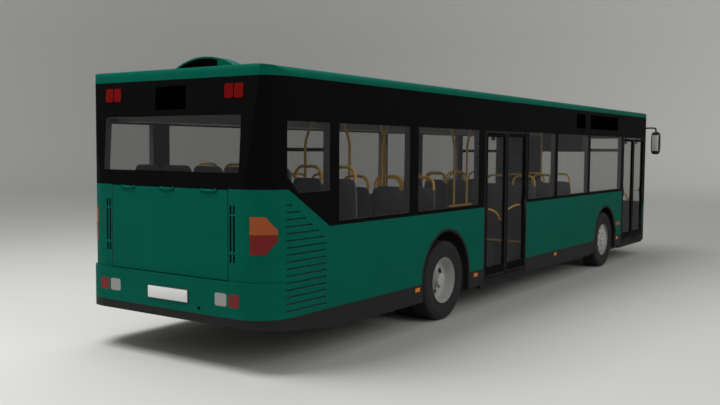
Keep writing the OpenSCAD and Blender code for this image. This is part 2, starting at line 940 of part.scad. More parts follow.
module rear_bumper() {
  color([0, 0.32, 0.24]) place() difference() {
    tail_only() wall(panel_z, crease_z, -rear_overhang);
    lengthwise(-rear_overhang - over, -rear_overhang + lamp_t) for (row = bumper_lamps) flat_zone(row);
    rod_x(-rear_overhang - over, -rear_overhang + tow_depth, -tow_y, tow_heights[run_from], tow_r);
  }
}

module rear_glass_zone() {
  rounded(-rear_glass_half_w, rear_glass_half_w, rear_sill_z, rear_head_z, window_r);
}

module rear_frame() {
  color([0.06, 0.06, 0.06]) place() {
    difference() {
      union() {
        tail_only() wall(quarter_z, band_z);
        intersection() {
          upright(quarter_z, band_z) plan(0);
          lean() box(rear_x, rear_x + wall_t, -half_w, half_w, quarter_z - wall_t, band_z + wall_t);
        }
      }
      lean() {
        box(rear_x - wall_t, rear_x, -half_w, half_w, quarter_z - wall_t, band_z + wall_t);
        lengthwise(rear_x - over, rear_x + 2 * wall_t) rear_glass_zone();
        lengthwise(rear_x - over, rear_x + lamp_t) for (row = flat_lamps) flat_zone(row);
        box(rear_x - over, rear_x + sign_t, -rear_sign_half_w, rear_sign_half_w, rear_sign_z, sign_top_z);
      }
    }
    lid_hinges() {
      half = lid_knuckle_l / 2 + leaf_gap;
      rod_y(0, -half - lug_w, half + lug_w, 0, lid_pin_r);
      for (m = [0, 1])
        mirror([0, m, 0]) box(lamp_proud, lamp_proud + lid_t / 2, half, half + lug_w, -lid_pin_r,
          quarter_z - hinge_z + lid_pin_r);
    }
  }
}

module rear_window() {
  color([0.1, 0.12, 0.12, 0.6]) place() lean()
    lengthwise(rear_x + glass_in, rear_x + glass_in + glass_t) rear_glass_zone();
}

module tail_lamps() {
  z = tail_lamp_z + tail_lamp_h * tail_lamp_share;
  color([0.55, 0.1, 0.08]) place() difference() {
    lamp_shell(lamp_proud);
    box(rear_x - over, rear_x + rear_corner_r, -half_w - over, half_w + over,
      z - lamp_seam / 2, z + lamp_seam / 2);
  }
}

module rear_lamps() {
  color([0.5, 0, 0]) place() {
    lean() lengthwise(rear_x - lamp_proud, rear_x + lamp_t) for (row = flat_lamps) flat_zone(row);
    lengthwise(-rear_overhang, -rear_overhang + lamp_t) for (row = bumper_lamps) flat_zone(row);
  }
}

module front_bumper() {
  color([0.15, 0.15, 0.15]) place() difference() {
    nose_only() wall(nose_z, nose_panel_z);
    doorways();
    rod_x(front_x - tow_depth, front_x + over, 0, tow_heights[run_to], tow_r);
  }
}

module head_lamp_zone() {
  for (s = [0, 1])
    mirror([s, 0]) rounded(head_lamp_y, head_lamp_y + head_lamp_w, head_lamp_z,
      head_lamp_z + head_lamp_h, lamp_r);
}

// Shallow layer of the front wall, from the outer face inwards
module front_layer(out, depth) {
  nose_only() intersection() {
    upright(nose_z, band_z) difference() {
      plan(-out);
      plan(depth);
    }
    lengthwise(front_x - front_overhang / 2, front_x + over) children();
  }
}

module front_panel() {
  color([0, 0.32, 0.24]) place() difference() {
    nose_only() wall(nose_panel_z, front_black_z);
    doorways();
    front_layer(over, lamp_t) head_lamp_zone();
  }
}

module screen_zone() {
  rounded(-screen_half_w, screen_half_w, screen_sill_z, screen_head_z, window_r);
}

module front_sign_zone() {
  translate([-front_sign_half_w, front_sign_z])
    square([2 * front_sign_half_w, sign_top_z - front_sign_z]);
}

module front_frame() {
  color([0.06, 0.06, 0.06]) place() difference() {
    nose_only() wall(front_black_z, band_z);
    doorways();
    post_bores(header_z - over, header_z + bore_depth);
    lengthwise(nose_x, front_x + over) screen_zone();
    front_layer(over, sign_t) front_sign_zone();
  }
}

module windscreen() {
  color([0.1, 0.12, 0.12, 0.6]) place() intersection() {
    pane(screen_sill_z - over, screen_head_z + over);
    lengthwise(nose_x, front_x + over) screen_zone();
  }
}

module head_lamps() {
  color([0.85, 0.85, 0.85]) place() front_layer(0, lamp_t) head_lamp_zone();
}

module signs() {
  color([0.03, 0.03, 0.03]) place() {
    front_layer(0, sign_t) front_sign_zone();
    side_signs(0);
    lean() box(rear_x, rear_x + sign_t, -rear_sign_half_w, rear_sign_half_w, rear_sign_z, sign_top_z);
  }
}

module marker_lamps() {
  color([0.8, 0.35, 0.05]) place() markers(lamp_t);
}

module mirrors() {
  y = half_w + mirror_out - mirror_w / 2;
  z = mirror_z + mirror_arm_up;
  x = front_x + mirror_reach - mirror_l / 2;
  root = front_x - front_corner_r * mirror_root_share;
  color([0.05, 0.05, 0.05]) place() for (m = [0, 1]) mirror([0, m, 0]) difference() {
    union() {
      box(x - mirror_l / 2, x + mirror_l / 2, y - mirror_w / 2, y + mirror_w / 2,
        mirror_z - mirror_h, mirror_z);
      translate([x, y, mirror_z - over]) cylinder(r = mirror_arm_r, h = mirror_arm_up + over);
      translate([x, y, z]) sphere(r = mirror_arm_r);
      rod_x(root, x, y, z, mirror_arm_r);
      translate([root, y, z]) sphere(r = mirror_arm_r);
      rod_y(root, inner_y, y, z, mirror_arm_r);
    }
    upright(nose_z, band_z) plan(0);
  }
}

module wheel_wells() {
  for (x = [0, wheelbase])
    for (m = [0, 1])
      mirror([0, m, 0]) box(x - box_half_l, x + box_half_l, box_y, half_w, 0, box_z);
}

module floor() {
  last = len(step_rises) - 1;
  color([0.35, 0.36, 0.38]) place() difference() {
    union() {
      intersection() {
        inside(floor_z - floor_t, floor_z);
        box(along(step_shares[last][run_to]) + floor_seam, front_x, -half_w, half_w, 0, floor_z);
      }
      for (d = door_shares)
        box(along(d[run_from]) - rebate, along(d[run_to]) + rebate, -half_w + flange_t, -inner_y + over,
          floor_z - floor_t, floor_z);
      for (i = [0 : last]) {
        x0 = max(along(step_shares[i][run_from]), along(bay_share)) + floor_seam;
        x1 = along(step_shares[i][run_to]);
        z = floor_z + step_rises[i];
        low = i < last ? floor_z + step_rises[i + 1] - step_t : floor_z - floor_t;
        intersection() {
          inside(low, z);
          union() {
            box(x0, x1, -half_w, half_w, z - step_t, z);
            box(x1 - step_t, x1, -half_w, half_w, low, z);
          }
        }
      }
      intersection() {
        inside(floor_z + step_rises[0] - step_t, quarter_z);
        union() {
          box(along(bay_share) - bay_t, along(bay_share), -half_w, half_w, 0, quarter_z);
          box(rear_x, along(bay_share), -half_w, half_w, quarter_z - bay_t, quarter_z);
        }
      }
    }
    wheel_wells();
    post_bores(floor_z - bore_depth, floor_z + over);
  }
}

module wheel_boxes() {
  last = len(step_rises) - 1;
  feet = [[0, floor_z + step_rises[last] - step_t], [wheelbase, floor_z - floor_t]];
  color([0.3, 0.3, 0.31]) place() for (row = feet) for (m = [0, 1]) mirror([0, m, 0]) difference() {
    box(row[0] - box_half_l, row[0] + box_half_l, box_y, inner_y, row[1], box_z);
    box(row[0] - box_half_l + box_t, row[0] + box_half_l - box_t, box_y + box_t, half_w,
      0, box_z - box_t);
  }
}

// Seat back at zero length, and the cushion ahead of it resting at zero height
module seat_back(back_h) {
  lengthwise(0, back_t) intersection() {
    rounded(-seat_w / 2, seat_w / 2, -back_h, back_h, back_r);
    translate([-seat_w / 2, 0]) square([seat_w, back_h]);
  }
}

module cushion() {
  translate([back_t, -seat_w / 2, 0]) cube([cushion_d, seat_w, cushion_t]);
}

module at_rows() {
  for (i = [0 : len(row_shares) - 1])
    for (m = [0, 1])
      mirror([0, m, 0]) for (k = [0, 1]) {
        $row = i;
        translate([along(row_shares[i]), inner_y - seat_in - seat_w / 2 - k * (seat_w + seat_gap),
          floor_z + row_rises[i]]) children();
      }
}

module at_bench() {
  for (k = [-2 : 2])
    translate([along(bench_share), k * (seat_w + seat_gap), bench_z]) children();
}

module seats() {
  base = floor_z + step_rises[0];
  color([0.16, 0.17, 0.2]) place() {
    at_rows() {
      cushion();
      drop = row_rises[$row] - row_feet[$row];
      if (drop > 0)
        translate([back_t, -seat_w / 4, -drop]) cube([cushion_d / 2, seat_w / 2, drop]);
    }
    at_bench() {
      cushion();
      translate([back_t, -seat_w / 2, base - bench_z]) cube([cushion_d, seat_w, bench_z - base]);
    }
  }
}

module seat_backs() {
  color([0.16, 0.17, 0.2]) place() {
    at_rows() seat_back(row_backs[$row]);
    at_bench() seat_back(bench_top_z - bench_z);
  }
}

// Hoop standing on a seat back
module hoop(h) {
  reach = seat_w / 2 - back_r - rail_r;
  for (s = [-1, 1]) {
    translate([0, s * reach, 0]) cylinder(r = rail_r, h = h);
    translate([0, s * reach, h]) sphere(r = rail_r);
  }
  rod_y(0, -reach, reach, h, rail_r);
}

module seat_hoops() {
  color([0.75, 0.5, 0.1]) place()
    at_rows() translate([back_t / 2, 0, row_backs[$row]]) hoop(hoop_h - rail_r);
}

module handrails() {
  last = len(pole_shares) - 1;
  color([0.75, 0.5, 0.1]) place() for (m = [0, 1]) mirror([0, m, 0]) {
    for (i = [0 : last])
      translate([along(pole_shares[i]), pole_y, floor_z + pole_feet[i]])
        cylinder(r = rail_r, h = ceiling_z - floor_z - pole_feet[i]);
    rod_x(along(pole_shares[0]), along(pole_shares[last]), pole_y, rail_z, rail_r);
  }
}

module driver_partition() {
  x = along(driver_shares[0]);
  color([0.12, 0.12, 0.13]) place() {
    box(x, x + cab_t, cab_y, inner_y, floor_z, cab_z);
    intersection() {
      box(x + cab_t, along(driver_shares[2]) + dash_d, cab_y, half_w, floor_z, floor_z + cab_rise);
      inside(floor_z, floor_z + cab_rise);
    }
  }
}

module driver_seat() {
  color([0.16, 0.17, 0.2]) place()
    translate([along(driver_shares[1]), driver_y, floor_z + cab_rise]) {
      translate([0, 0, cushion_d]) {
        seat_back(row_backs[0]);
        cushion();
      }
      translate([back_t, -seat_w / 4, 0]) cube([cushion_d / 2, seat_w / 2, cushion_d]);
    }
}

module dashboard() {
  x = along(driver_shares[2]);
  z = floor_z + cab_rise;
  color([0.12, 0.12, 0.13]) place() {
    intersection() {
      box(x, x + dash_d, cab_y, half_w, z, z + dash_h);
      inside(z, z + dash_h);
    }
    translate([x + dash_d / 4, driver_y, z + dash_h - over]) rotate([0, -column_deg, 0]) {
      cylinder(r = wheel_rim_r, h = column_l);
      translate([0, 0, column_l]) {
        rotate_extrude() translate([wheel_r - wheel_rim_r, 0]) circle(r = wheel_rim_r);
        for (a = [0, 90, 180, 270])
          rotate(a) rod_x(0, wheel_r - wheel_rim_r, 0, 0, wheel_rim_r / 2);
      }
    }
  }
}

module front_axle() {
  h = fist_r * fist_share;
  color([0.2, 0.2, 0.21]) place() translate([wheelbase, 0, 0]) {
    difference() {
      union() {
        box(-fist_r, fist_r, -arm_y, arm_y, beam_z, floor_z - floor_t - pad_t);
        for (m = [0, 1])
          mirror([0, m, 0]) {
            box(-fist_r, fist_r, arm_y - beam_t, arm_y, beam_z, tyre_r + h);
            box(-fist_r, fist_r, arm_y - beam_t, king_y, tyre_r - h, tyre_r + h);
            translate([0, king_y, tyre_r - h]) cylinder(r = fist_r, h = 2 * h);
            box(-fist_r, fist_r, box_y - 2 * beam_t, box_y - beam_t, beam_z, floor_z - floor_t);
          }
      }
      for (m = [0, 1])
        mirror([0, m, 0]) translate([0, king_y, tyre_r - 2 * h])
          cylinder(r = king_r + run_gap, h = 4 * h);
    }
  }
}

module rear_axle() {
  top = floor_z + step_rises[len(step_rises) - 1] - step_t;
  color([0.2, 0.2, 0.21]) place() {
    box(-beam_t, beam_t, -box_y - carrier_w, box_y + carrier_w, beam_z, top - pad_t);
    for (m = [0, 1])
      mirror([0, m, 0]) {
        box(-beam_t, beam_t, box_y + box_t + leaf_gap, box_y + carrier_w, beam_z, tyre_r);
        rod_y(0, box_y + box_t + leaf_gap, twin_y - hub_in, tyre_r, carrier_r);
        rod_y(0, box_y + carrier_w, twin_y + hub_in / 2, tyre_r, stub_r);
        box(-beam_t, beam_t, box_y - 2 * beam_t, box_y - beam_t, beam_z, top);
      }
  }
}

module engine() {
  color([0.3, 0.3, 0.3]) place()
    box(along(engine_shares[run_from]), along(engine_shares[run_to]), -engine_half_w, engine_half_w,
      engine_z, floor_z + step_rises[1] - step_t);
}

function half_leaf(d) = ((along(d[run_to]) - along(d[run_from])) / 2 - post_in) / 2;

// Frame of one door post: leaf towards positive X, bus inside towards positive Y
module at_post(d, fore) {
  x = fore ? along(d[run_to]) - post_in : along(d[run_from]) + post_in;
  translate([x, -half_w + door_line, 0]) mirror([fore ? 1 : 0, 0, 0]) children();
}

module door_post(d) {
  a = half_leaf(d);
  z0 = floor_z - bore_depth + lamp_proud;
  z1 = header_z + bore_depth - lamp_proud;
  translate([0, 0, z0]) cylinder(r = post_r, h = z1 - z0);
  for (z = [arm_low_z, arm_high_z]) {
    box(0, a, -arm_w / 2, arm_w / 2, z, z + arm_t);
    translate([a, 0, z]) cylinder(r = arm_w / 2, h = arm_t);
  }
  translate([a, 0, arm_low_z]) cylinder(r = pin_r, h = leaf_z + pin_depth - arm_low_z);
  translate([a, 0, leaf_top_z - pin_depth])
    cylinder(r = pin_r, h = arm_high_z + arm_t - leaf_top_z + pin_depth);
}

module leaf_glass_zone(d, y0, y1) {
  box(leaf_start + stile, 2 * half_leaf(d) - lead_gap - stile, y0, y1,
    leaf_z + leaf_panel_h, leaf_top_z - stile);
}

module door_leaf(d) {
  a = half_leaf(d);
  h = pin_depth + lamp_proud;
  difference() {
    union() {
      box(leaf_start, 2 * a - lead_gap, -leaf_face, leaf_t - leaf_face, leaf_z, leaf_top_z);
      for (z = [leaf_z, leaf_top_z - 2 * h])
        box(a - arm_w, a + arm_w, -leaf_face / 2, arm_w * bracket_share, z, z + 2 * h);
    }
    leaf_glass_zone(d, -half_w, -leaf_face + leaf_t);
    translate([a, 0, leaf_z - over]) cylinder(r = pin_r + run_gap, h = h + over);
    translate([a, 0, leaf_top_z - h]) cylinder(r = pin_r + run_gap, h = h + over);
  }
}

module door_glass(d) {
  mid = leaf_t / 2 - leaf_face;
  leaf_glass_zone(d, mid - glass_t / 2, mid + glass_t / 2);
}

module post_piece(d, fore) {
  color([0.2, 0.2, 0.2]) place() at_post(door_shares[d], fore) door_post(door_shares[d]);
}

module leaf_piece(d, fore) {
  color([0.06, 0.06, 0.06]) place() at_post(door_shares[d], fore) door_leaf(door_shares[d]);
}

module glass_piece(d, fore) {
  color([0.1, 0.12, 0.12, 0.6]) place() at_post(door_shares[d], fore) door_glass(door_shares[d]);
}

module knuckle() {
  h = fist_r * fist_share + leaf_gap;
  reach = fist_r + leaf_gap + knuckle_t;
  for (z = [-h - knuckle_t, h])
    box(-fist_r, fist_r, -fist_r, reach, z, z + knuckle_t);
  box(-fist_r, fist_r, fist_r + leaf_gap, reach, -h - knuckle_t, h + knuckle_t);
  translate([0, 0, -h - knuckle_t]) cylinder(r = king_r, h = 2 * (h + knuckle_t));
  rod_y(0, fist_r + leaf_gap, front_wheel_y - king_y + tyre_w * stub_share, 0, stub_r);
}

module knuckle_piece(side) {
  color([0.22, 0.22, 0.23]) place() mirror([0, side, 0]) translate([wheelbase, king_y, tyre_r]) knuckle();
}

// Wheel frame: axis along positive Z, pointing away from the bus
module at_wheel(x, y, side) {
  mirror([0, side, 0]) translate([x, y, tyre_r]) rotate([-90, 0, 0]) children();
}

module barrel() {
  polygon([for (p = barrel_shares) [p[0] * rim_r, p[1] * tyre_w / 2]]);
}

module tyre_section() {
  t = tyre_w / 2 - shoulder_r;
  low = barrel_shares[1][0] * rim_r;
  bead = barrel_shares[4][1] * tyre_w / 2;
  translate([rim_r, -bead]) square([shoulder_r, 2 * bead]);
  translate([low, -tyre_w / 2]) square([tyre_r - shoulder_r - low, tyre_w]);
  translate([low, -t]) square([tyre_r - low, 2 * t]);
  for (s = [-1, 1])
    translate([tyre_r - shoulder_r, s * t]) circle(r = shoulder_r);
}

module hand_holes(n, r, ring) {
  for (i = [0 : n - 1])
    rotate(i * 360 / n) translate([ring, 0, -tyre_w]) cylinder(r = r, h = 2 * tyre_w);
}

module rim_piece(side) {
  color([0.6, 0.6, 0.6]) place() at_wheel(wheelbase, front_wheel_y, side) difference() {
    rotate_extrude() {
      barrel();
      polygon([for (p = front_disc_shares) [p[0] * rim_r, p[1] * tyre_w / 2]]);
    }
    translate([0, 0, -tyre_w]) cylinder(r = stub_r + run_gap, h = tyre_w + tyre_w * stub_share + lamp_proud);
    hand_holes(hole_n, hole_r, rim_r * hole_share);
  }
}

module tyre_piece(side) {
  color([0.16, 0.16, 0.16]) place() at_wheel(wheelbase, front_wheel_y, side)
    rotate_extrude() tyre_section();
}

module twin_piece(side) {
  off = (tyre_w + twin_gap) / 2;
  color([0.6, 0.6, 0.6]) place() at_wheel(0, twin_y, side) difference() {
    rotate_extrude() {
      translate([0, off]) barrel();
      translate([0, -off]) barrel();
      translate([barrel_shares[0][0] * rim_r, -off]) square([rim_r - barrel_shares[0][0] * rim_r, 2 * off]);
      polygon([for (p = twin_disc_shares) [p[0] * rim_r, p[1] * tyre_w / 2]]);
    }
    translate([0, 0, -tyre_w]) cylinder(r = stub_r + run_gap, h = tyre_w + hub_in / 2 + lamp_proud);
    hand_holes(hole_n, hole_r, rim_r * hole_share);
  }
}

module twin_tyre_piece(side) {
  off = (tyre_w + twin_gap) / 2;
  color([0.16, 0.16, 0.16]) place() at_wheel(0, twin_y, side) rotate_extrude()
    for (s = [-1, 1])
      translate([0, s * off]) tyre_section();
}

floor();
wheel_boxes();
side_panels_right();
side_panels_left();
skirts();
arch_lips();
window_band_right();
window_band_left();
side_glass();
door_frames();
roof();
roof_cowl();
ceiling();
rear_corners();
rear_bumper();
rear_frame();
rear_window();
tail_lamps();
rear_lamps();
front_bumper();
front_panel();
front_frame();
windscreen();
head_lamps();
signs();
marker_lamps();
mirrors();
seats();
seat_backs();
seat_hoops();
handrails();
dashboard();
driver_seat();
driver_partition();
front_axle();
rear_axle();
engine();
engine_lid();
post_piece(1, false);  // front_post_rear
leaf_piece(1, false);  // front_leaf_rear
glass_piece(1, false);  // front_glass_rear
post_piece(1, true);  // front_post_fore
leaf_piece(1, true);  // front_leaf_fore
glass_piece(1, true);  // front_glass_fore
post_piece(0, false);  // middle_post_rear
leaf_piece(0, false);  // middle_leaf_rear
glass_piece(0, false);  // middle_glass_rear
post_piece(0, true);  // middle_post_fore
leaf_piece(0, true);  // middle_leaf_fore
glass_piece(0, true);  // middle_glass_fore
knuckle_piece(0);  // knuckle_left
knuckle_piece(1);  // knuckle_right
rim_piece(0);  // front_rim_left
tyre_piece(0);  // front_tyre_left
rim_piece(1);  // front_rim_right
tyre_piece(1);  // front_tyre_right
twin_piece(0);  // rear_wheel_left
twin_tyre_piece(0);  // rear_tyres_left
twin_piece(1);  // rear_wheel_right
twin_tyre_piece(1);  // rear_tyres_right
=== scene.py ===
"""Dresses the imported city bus: materials, soft seats, trim, studio and camera."""

import logging
import math
from dataclasses import dataclass, field
from enum import Enum
from typing import Callable, Iterable, NamedTuple, Sequence

import bmesh
import bpy
from mathutils import Matrix, Vector

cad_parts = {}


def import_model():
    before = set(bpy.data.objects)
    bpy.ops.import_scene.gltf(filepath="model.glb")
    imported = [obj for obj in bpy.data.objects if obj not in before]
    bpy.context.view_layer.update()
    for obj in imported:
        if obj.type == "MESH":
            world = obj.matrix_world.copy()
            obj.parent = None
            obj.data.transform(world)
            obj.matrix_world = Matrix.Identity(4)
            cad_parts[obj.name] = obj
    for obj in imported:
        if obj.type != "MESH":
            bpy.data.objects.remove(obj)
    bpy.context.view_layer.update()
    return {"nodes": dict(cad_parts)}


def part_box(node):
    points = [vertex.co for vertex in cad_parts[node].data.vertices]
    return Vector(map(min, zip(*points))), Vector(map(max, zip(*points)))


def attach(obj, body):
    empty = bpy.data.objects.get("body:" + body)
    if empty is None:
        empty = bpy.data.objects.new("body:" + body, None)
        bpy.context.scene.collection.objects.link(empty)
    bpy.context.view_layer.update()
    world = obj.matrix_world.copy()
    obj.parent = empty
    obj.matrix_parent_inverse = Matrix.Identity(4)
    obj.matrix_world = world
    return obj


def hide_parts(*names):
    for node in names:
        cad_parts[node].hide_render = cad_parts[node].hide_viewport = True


log = logging.getLogger("bus")

Colour = tuple[float, float, float]
Point = tuple[float, float, float]
Span = tuple[float, float]
Box = tuple[Span, Span, Span]
Socket = bpy.types.NodeSocket
Tree = bpy.types.NodeTree
Inputs = dict[str | int, object]

# Frame shared with the solids, in metres: the rear axle stands behind the origin
REAR_AXLE_X = -2.735
HALF_WIDTH = 1.275
TAIL_X = REAR_AXLE_X - 3.305
BUMPER_X = REAR_AXLE_X - 3.33
ROOT = "body"
SIDES = (-1.0, 1.0)


def along(x: float) -> float:
    """Turns a distance ahead of the rear axle into the frame's X."""
    return x + REAR_AXLE_X


def ordered(a: float, b: float) -> Span:
    """Puts two values in rising order."""
    return min(a, b), max(a, b)


def around(middle: float, half: float) -> Span:
    """Span of a given half width about its middle."""
    return middle - half, middle + half


def circle(steps: int) -> list[Span]:
    """Cosine and sine of equal steps round a full turn."""
    turns = [math.tau * k / steps for k in range(steps)]
    return [(math.cos(a), math.sin(a)) for a in turns]


def quarter(steps: int) -> list[Span]:
    """Cosine and sine of equal steps through a quarter turn, with both its ends."""
    turns = [math.pi / 2 * k / steps for k in range(steps + 1)]
    return [(math.cos(a), math.sin(a)) for a in turns]


class Surface(Enum):
    """How a finish breaks up light, with the scale and height of its grain."""

    PAINT = (420.0, 0.004)
    PLASTIC = (900.0, 0.05)
    RUBBER = (520.0, 0.12)
    METAL = (300.0, 0.03)
    LENS = (160.0, 0.02)

    @property
    def scale(self) -> float:
        """Grain repeats in each metre."""
        return self.value[0]

    @property
    def height(self) -> float:
        """Strength of the grain's bump."""
        return self.value[1]


@dataclass(frozen=True)
class Finish:
    """One finish of the bus, from which a procedural material is made."""

    name: str
    base: Colour
    surface: Surface
    roughness: float
    spread: float = 0.12
    metallic: float = 0.0
    coat: float = 0.0
    dust: float = 0.0
    dust_top: float = 0.9
    flake: float = 0.0
    specular: float = 0.5


class Palette(Enum):
    """Every finish of the bus."""

    GREEN = Finish("green_paint", (0.0002, 0.094, 0.062), Surface.PAINT, 0.6, 0.10,
                   flake=0.22, dust=0.02, specular=0.03)
    BLACK = Finish("black_band", (0.0030, 0.0030, 0.0031), Surface.PAINT, 0.6, 0.2, specular=0.02)
    DARK = Finish("dark_skirt", (0.0135, 0.0135, 0.0137), Surface.PLASTIC, 0.6, 0.2,
                  dust=0.06, dust_top=0.6, specular=0.12)
    SEAL = Finish("rubber_seal", (0.008, 0.008, 0.008), Surface.RUBBER, 0.7, specular=0.15)
    TYRE = Finish("tyre_rubber", (0.0145, 0.0145, 0.0145), Surface.RUBBER, 0.75, 0.25,
                  dust=0.06, specular=0.2)
    RIM = Finish("rim_paint", (0.36, 0.36, 0.355), Surface.METAL, 0.5, 0.10,
                 dust=0.10, specular=0.3)
    STEEL = Finish("dark_steel", (0.05, 0.05, 0.052), Surface.METAL, 0.5, 0.3,
                   metallic=0.6, dust=0.2)
    NUT = Finish("bright_steel", (0.42, 0.42, 0.43), Surface.METAL, 0.32, 0.2, metallic=0.6)
    YELLOW = Finish("ochre_tube", (0.80, 0.44, 0.07), Surface.PAINT, 0.4, 0.1, coat=0.1)
    SHELL = Finish("seat_shell", (0.022, 0.023, 0.027), Surface.PLASTIC, 0.5)
    LINING = Finish("lining", (0.30, 0.30, 0.29), Surface.PLASTIC, 0.6, 0.08)
    PILLAR = Finish("pillar_lining", (0.085, 0.085, 0.09), Surface.PLASTIC, 0.65, 0.12)
    # Painted shade: near-black put on the walls and floor of the tail's slots and inside the roof
    # cowl's mouth
    RECESS_SHADE = Finish("painted_recess_shade", (0.0025, 0.0025, 0.0025), Surface.PLASTIC, 0.7, 0.3, specular=0.1)
    CAB = Finish("cab_plastic", (0.020, 0.020, 0.022), Surface.PLASTIC, 0.55, specular=0.3)
    FLOOR = Finish("saloon_floor", (0.06, 0.062, 0.066), Surface.RUBBER, 0.6, 0.35)
    RED = Finish("red_lens", (0.15, 0.006, 0.006), Surface.LENS, 0.25, 0.1, coat=0.1, specular=0.2)
    DEEP_RED = Finish("deep_red_lens", (0.15, 0.0015, 0.0015), Surface.LENS, 0.35, 0.1,
                      specular=0.05)
    AMBER = Finish("amber_lens", (0.30, 0.065, 0.013), Surface.LENS, 0.25, 0.1,
                   coat=0.1, specular=0.2)
    MARKER = Finish("marker_lens", (0.62, 0.17, 0.010), Surface.LENS, 0.3, 0.1, specular=0.2)
    REFLECTOR = Finish("reflector", (0.36, 0.050, 0.020), Surface.LENS, 0.3, 0.1, specular=0.15)
    CLEAR = Finish("clear_lens", (0.27, 0.27, 0.265), Surface.LENS, 0.2, 0.08,
                   coat=0.2, specular=0.3)
    HEADLAMP = Finish("head_lens", (0.55, 0.56, 0.57), Surface.LENS, 0.12, 0.08, coat=0.5)
    SIGN = Finish("blank_sign", (0.0004, 0.0004, 0.0004), Surface.LENS, 0.75, 0.3, specular=0.0)
    PLATE = Finish("blank_plate", (0.70, 0.70, 0.69), Surface.PAINT, 0.35, 0.04)
    FRAME = Finish("plate_holder", (0.012, 0.012, 0.012), Surface.PLASTIC, 0.5)
    MIRROR = Finish("mirror_face", (0.76, 0.76, 0.73), Surface.METAL, 0.12, 0.02, metallic=0.3)


class Net:
    """Adds nodes to one tree, each set and wired in a single call."""

    def __init__(self, tree: Tree) -> None:
        """Starts on a tree."""
        self.tree = tree

    def feed(self, node: bpy.types.Node, inputs: Inputs) -> None:
        """Sets or wires the inputs of a node.

        Args:
            node: The node.
            inputs: For each input, by name or number, a value or the output to link.
        """
        for key, value in inputs.items():
            if isinstance(value, Socket):
                self.tree.links.new(value, node.inputs[key])
            else:
                node.inputs[key].default_value = value

    def add(self, kind: str, inputs: Inputs, **settings: object) -> bpy.types.Node:
        """Adds one node.

        Args:
            kind: The node's type without its prefix.
            inputs: What goes into it.
            settings: Its own settings, such as an operation.

        Returns:
            The node.
        """
        node = self.tree.nodes.new(f"ShaderNode{kind}")
        for name, setting in settings.items():
            setattr(node, name, setting)
        self.feed(node, inputs)
        return node

    def place(self) -> Socket:
        """Object coordinates, which are the row frame in metres."""
        return self.add("TexCoord", {}).outputs["Object"]

    def noise(self, place: Socket, scale: object, detail: float) -> Socket:
        """Soft noise at a place."""
        inputs = {"Vector": place, "Scale": scale, "Detail": detail}
        return self.add("TexNoise", inputs).outputs["Fac"]

    def math(self, operation: str, *values: object) -> Socket:
        """Result of one sum."""
        return self.add("Math", dict(enumerate(values)), operation=operation).outputs[0]

    def ramp(self, value: object, start: object, end: object, low: float, high: float) -> Socket:
        """Value carried from the range start to end into the range low to high."""
        inputs = {"Value": value, "From Min": start, "From Max": end, "To Min": low, "To Max": high}
        return self.add("MapRange", inputs).outputs["Result"]

    def vector(self, operation: str, output: str, inputs: Inputs) -> Socket:
        """One output of a sum with vectors."""
        return self.add("VectorMath", inputs, operation=operation).outputs[output]

    def mix(self, factor: object, a: object, b: object) -> Socket:
        """Blend of two colours."""
        inputs = {"Factor": factor, "A": a, "B": b}
        return self.add("Mix", inputs, data_type="RGBA").outputs["Result"]

    def group(self, group: Tree, inputs: Inputs) -> bpy.types.NodeOutputs:
        """Outputs of one shared group."""
        return self.add("Group", inputs, node_tree=group).outputs


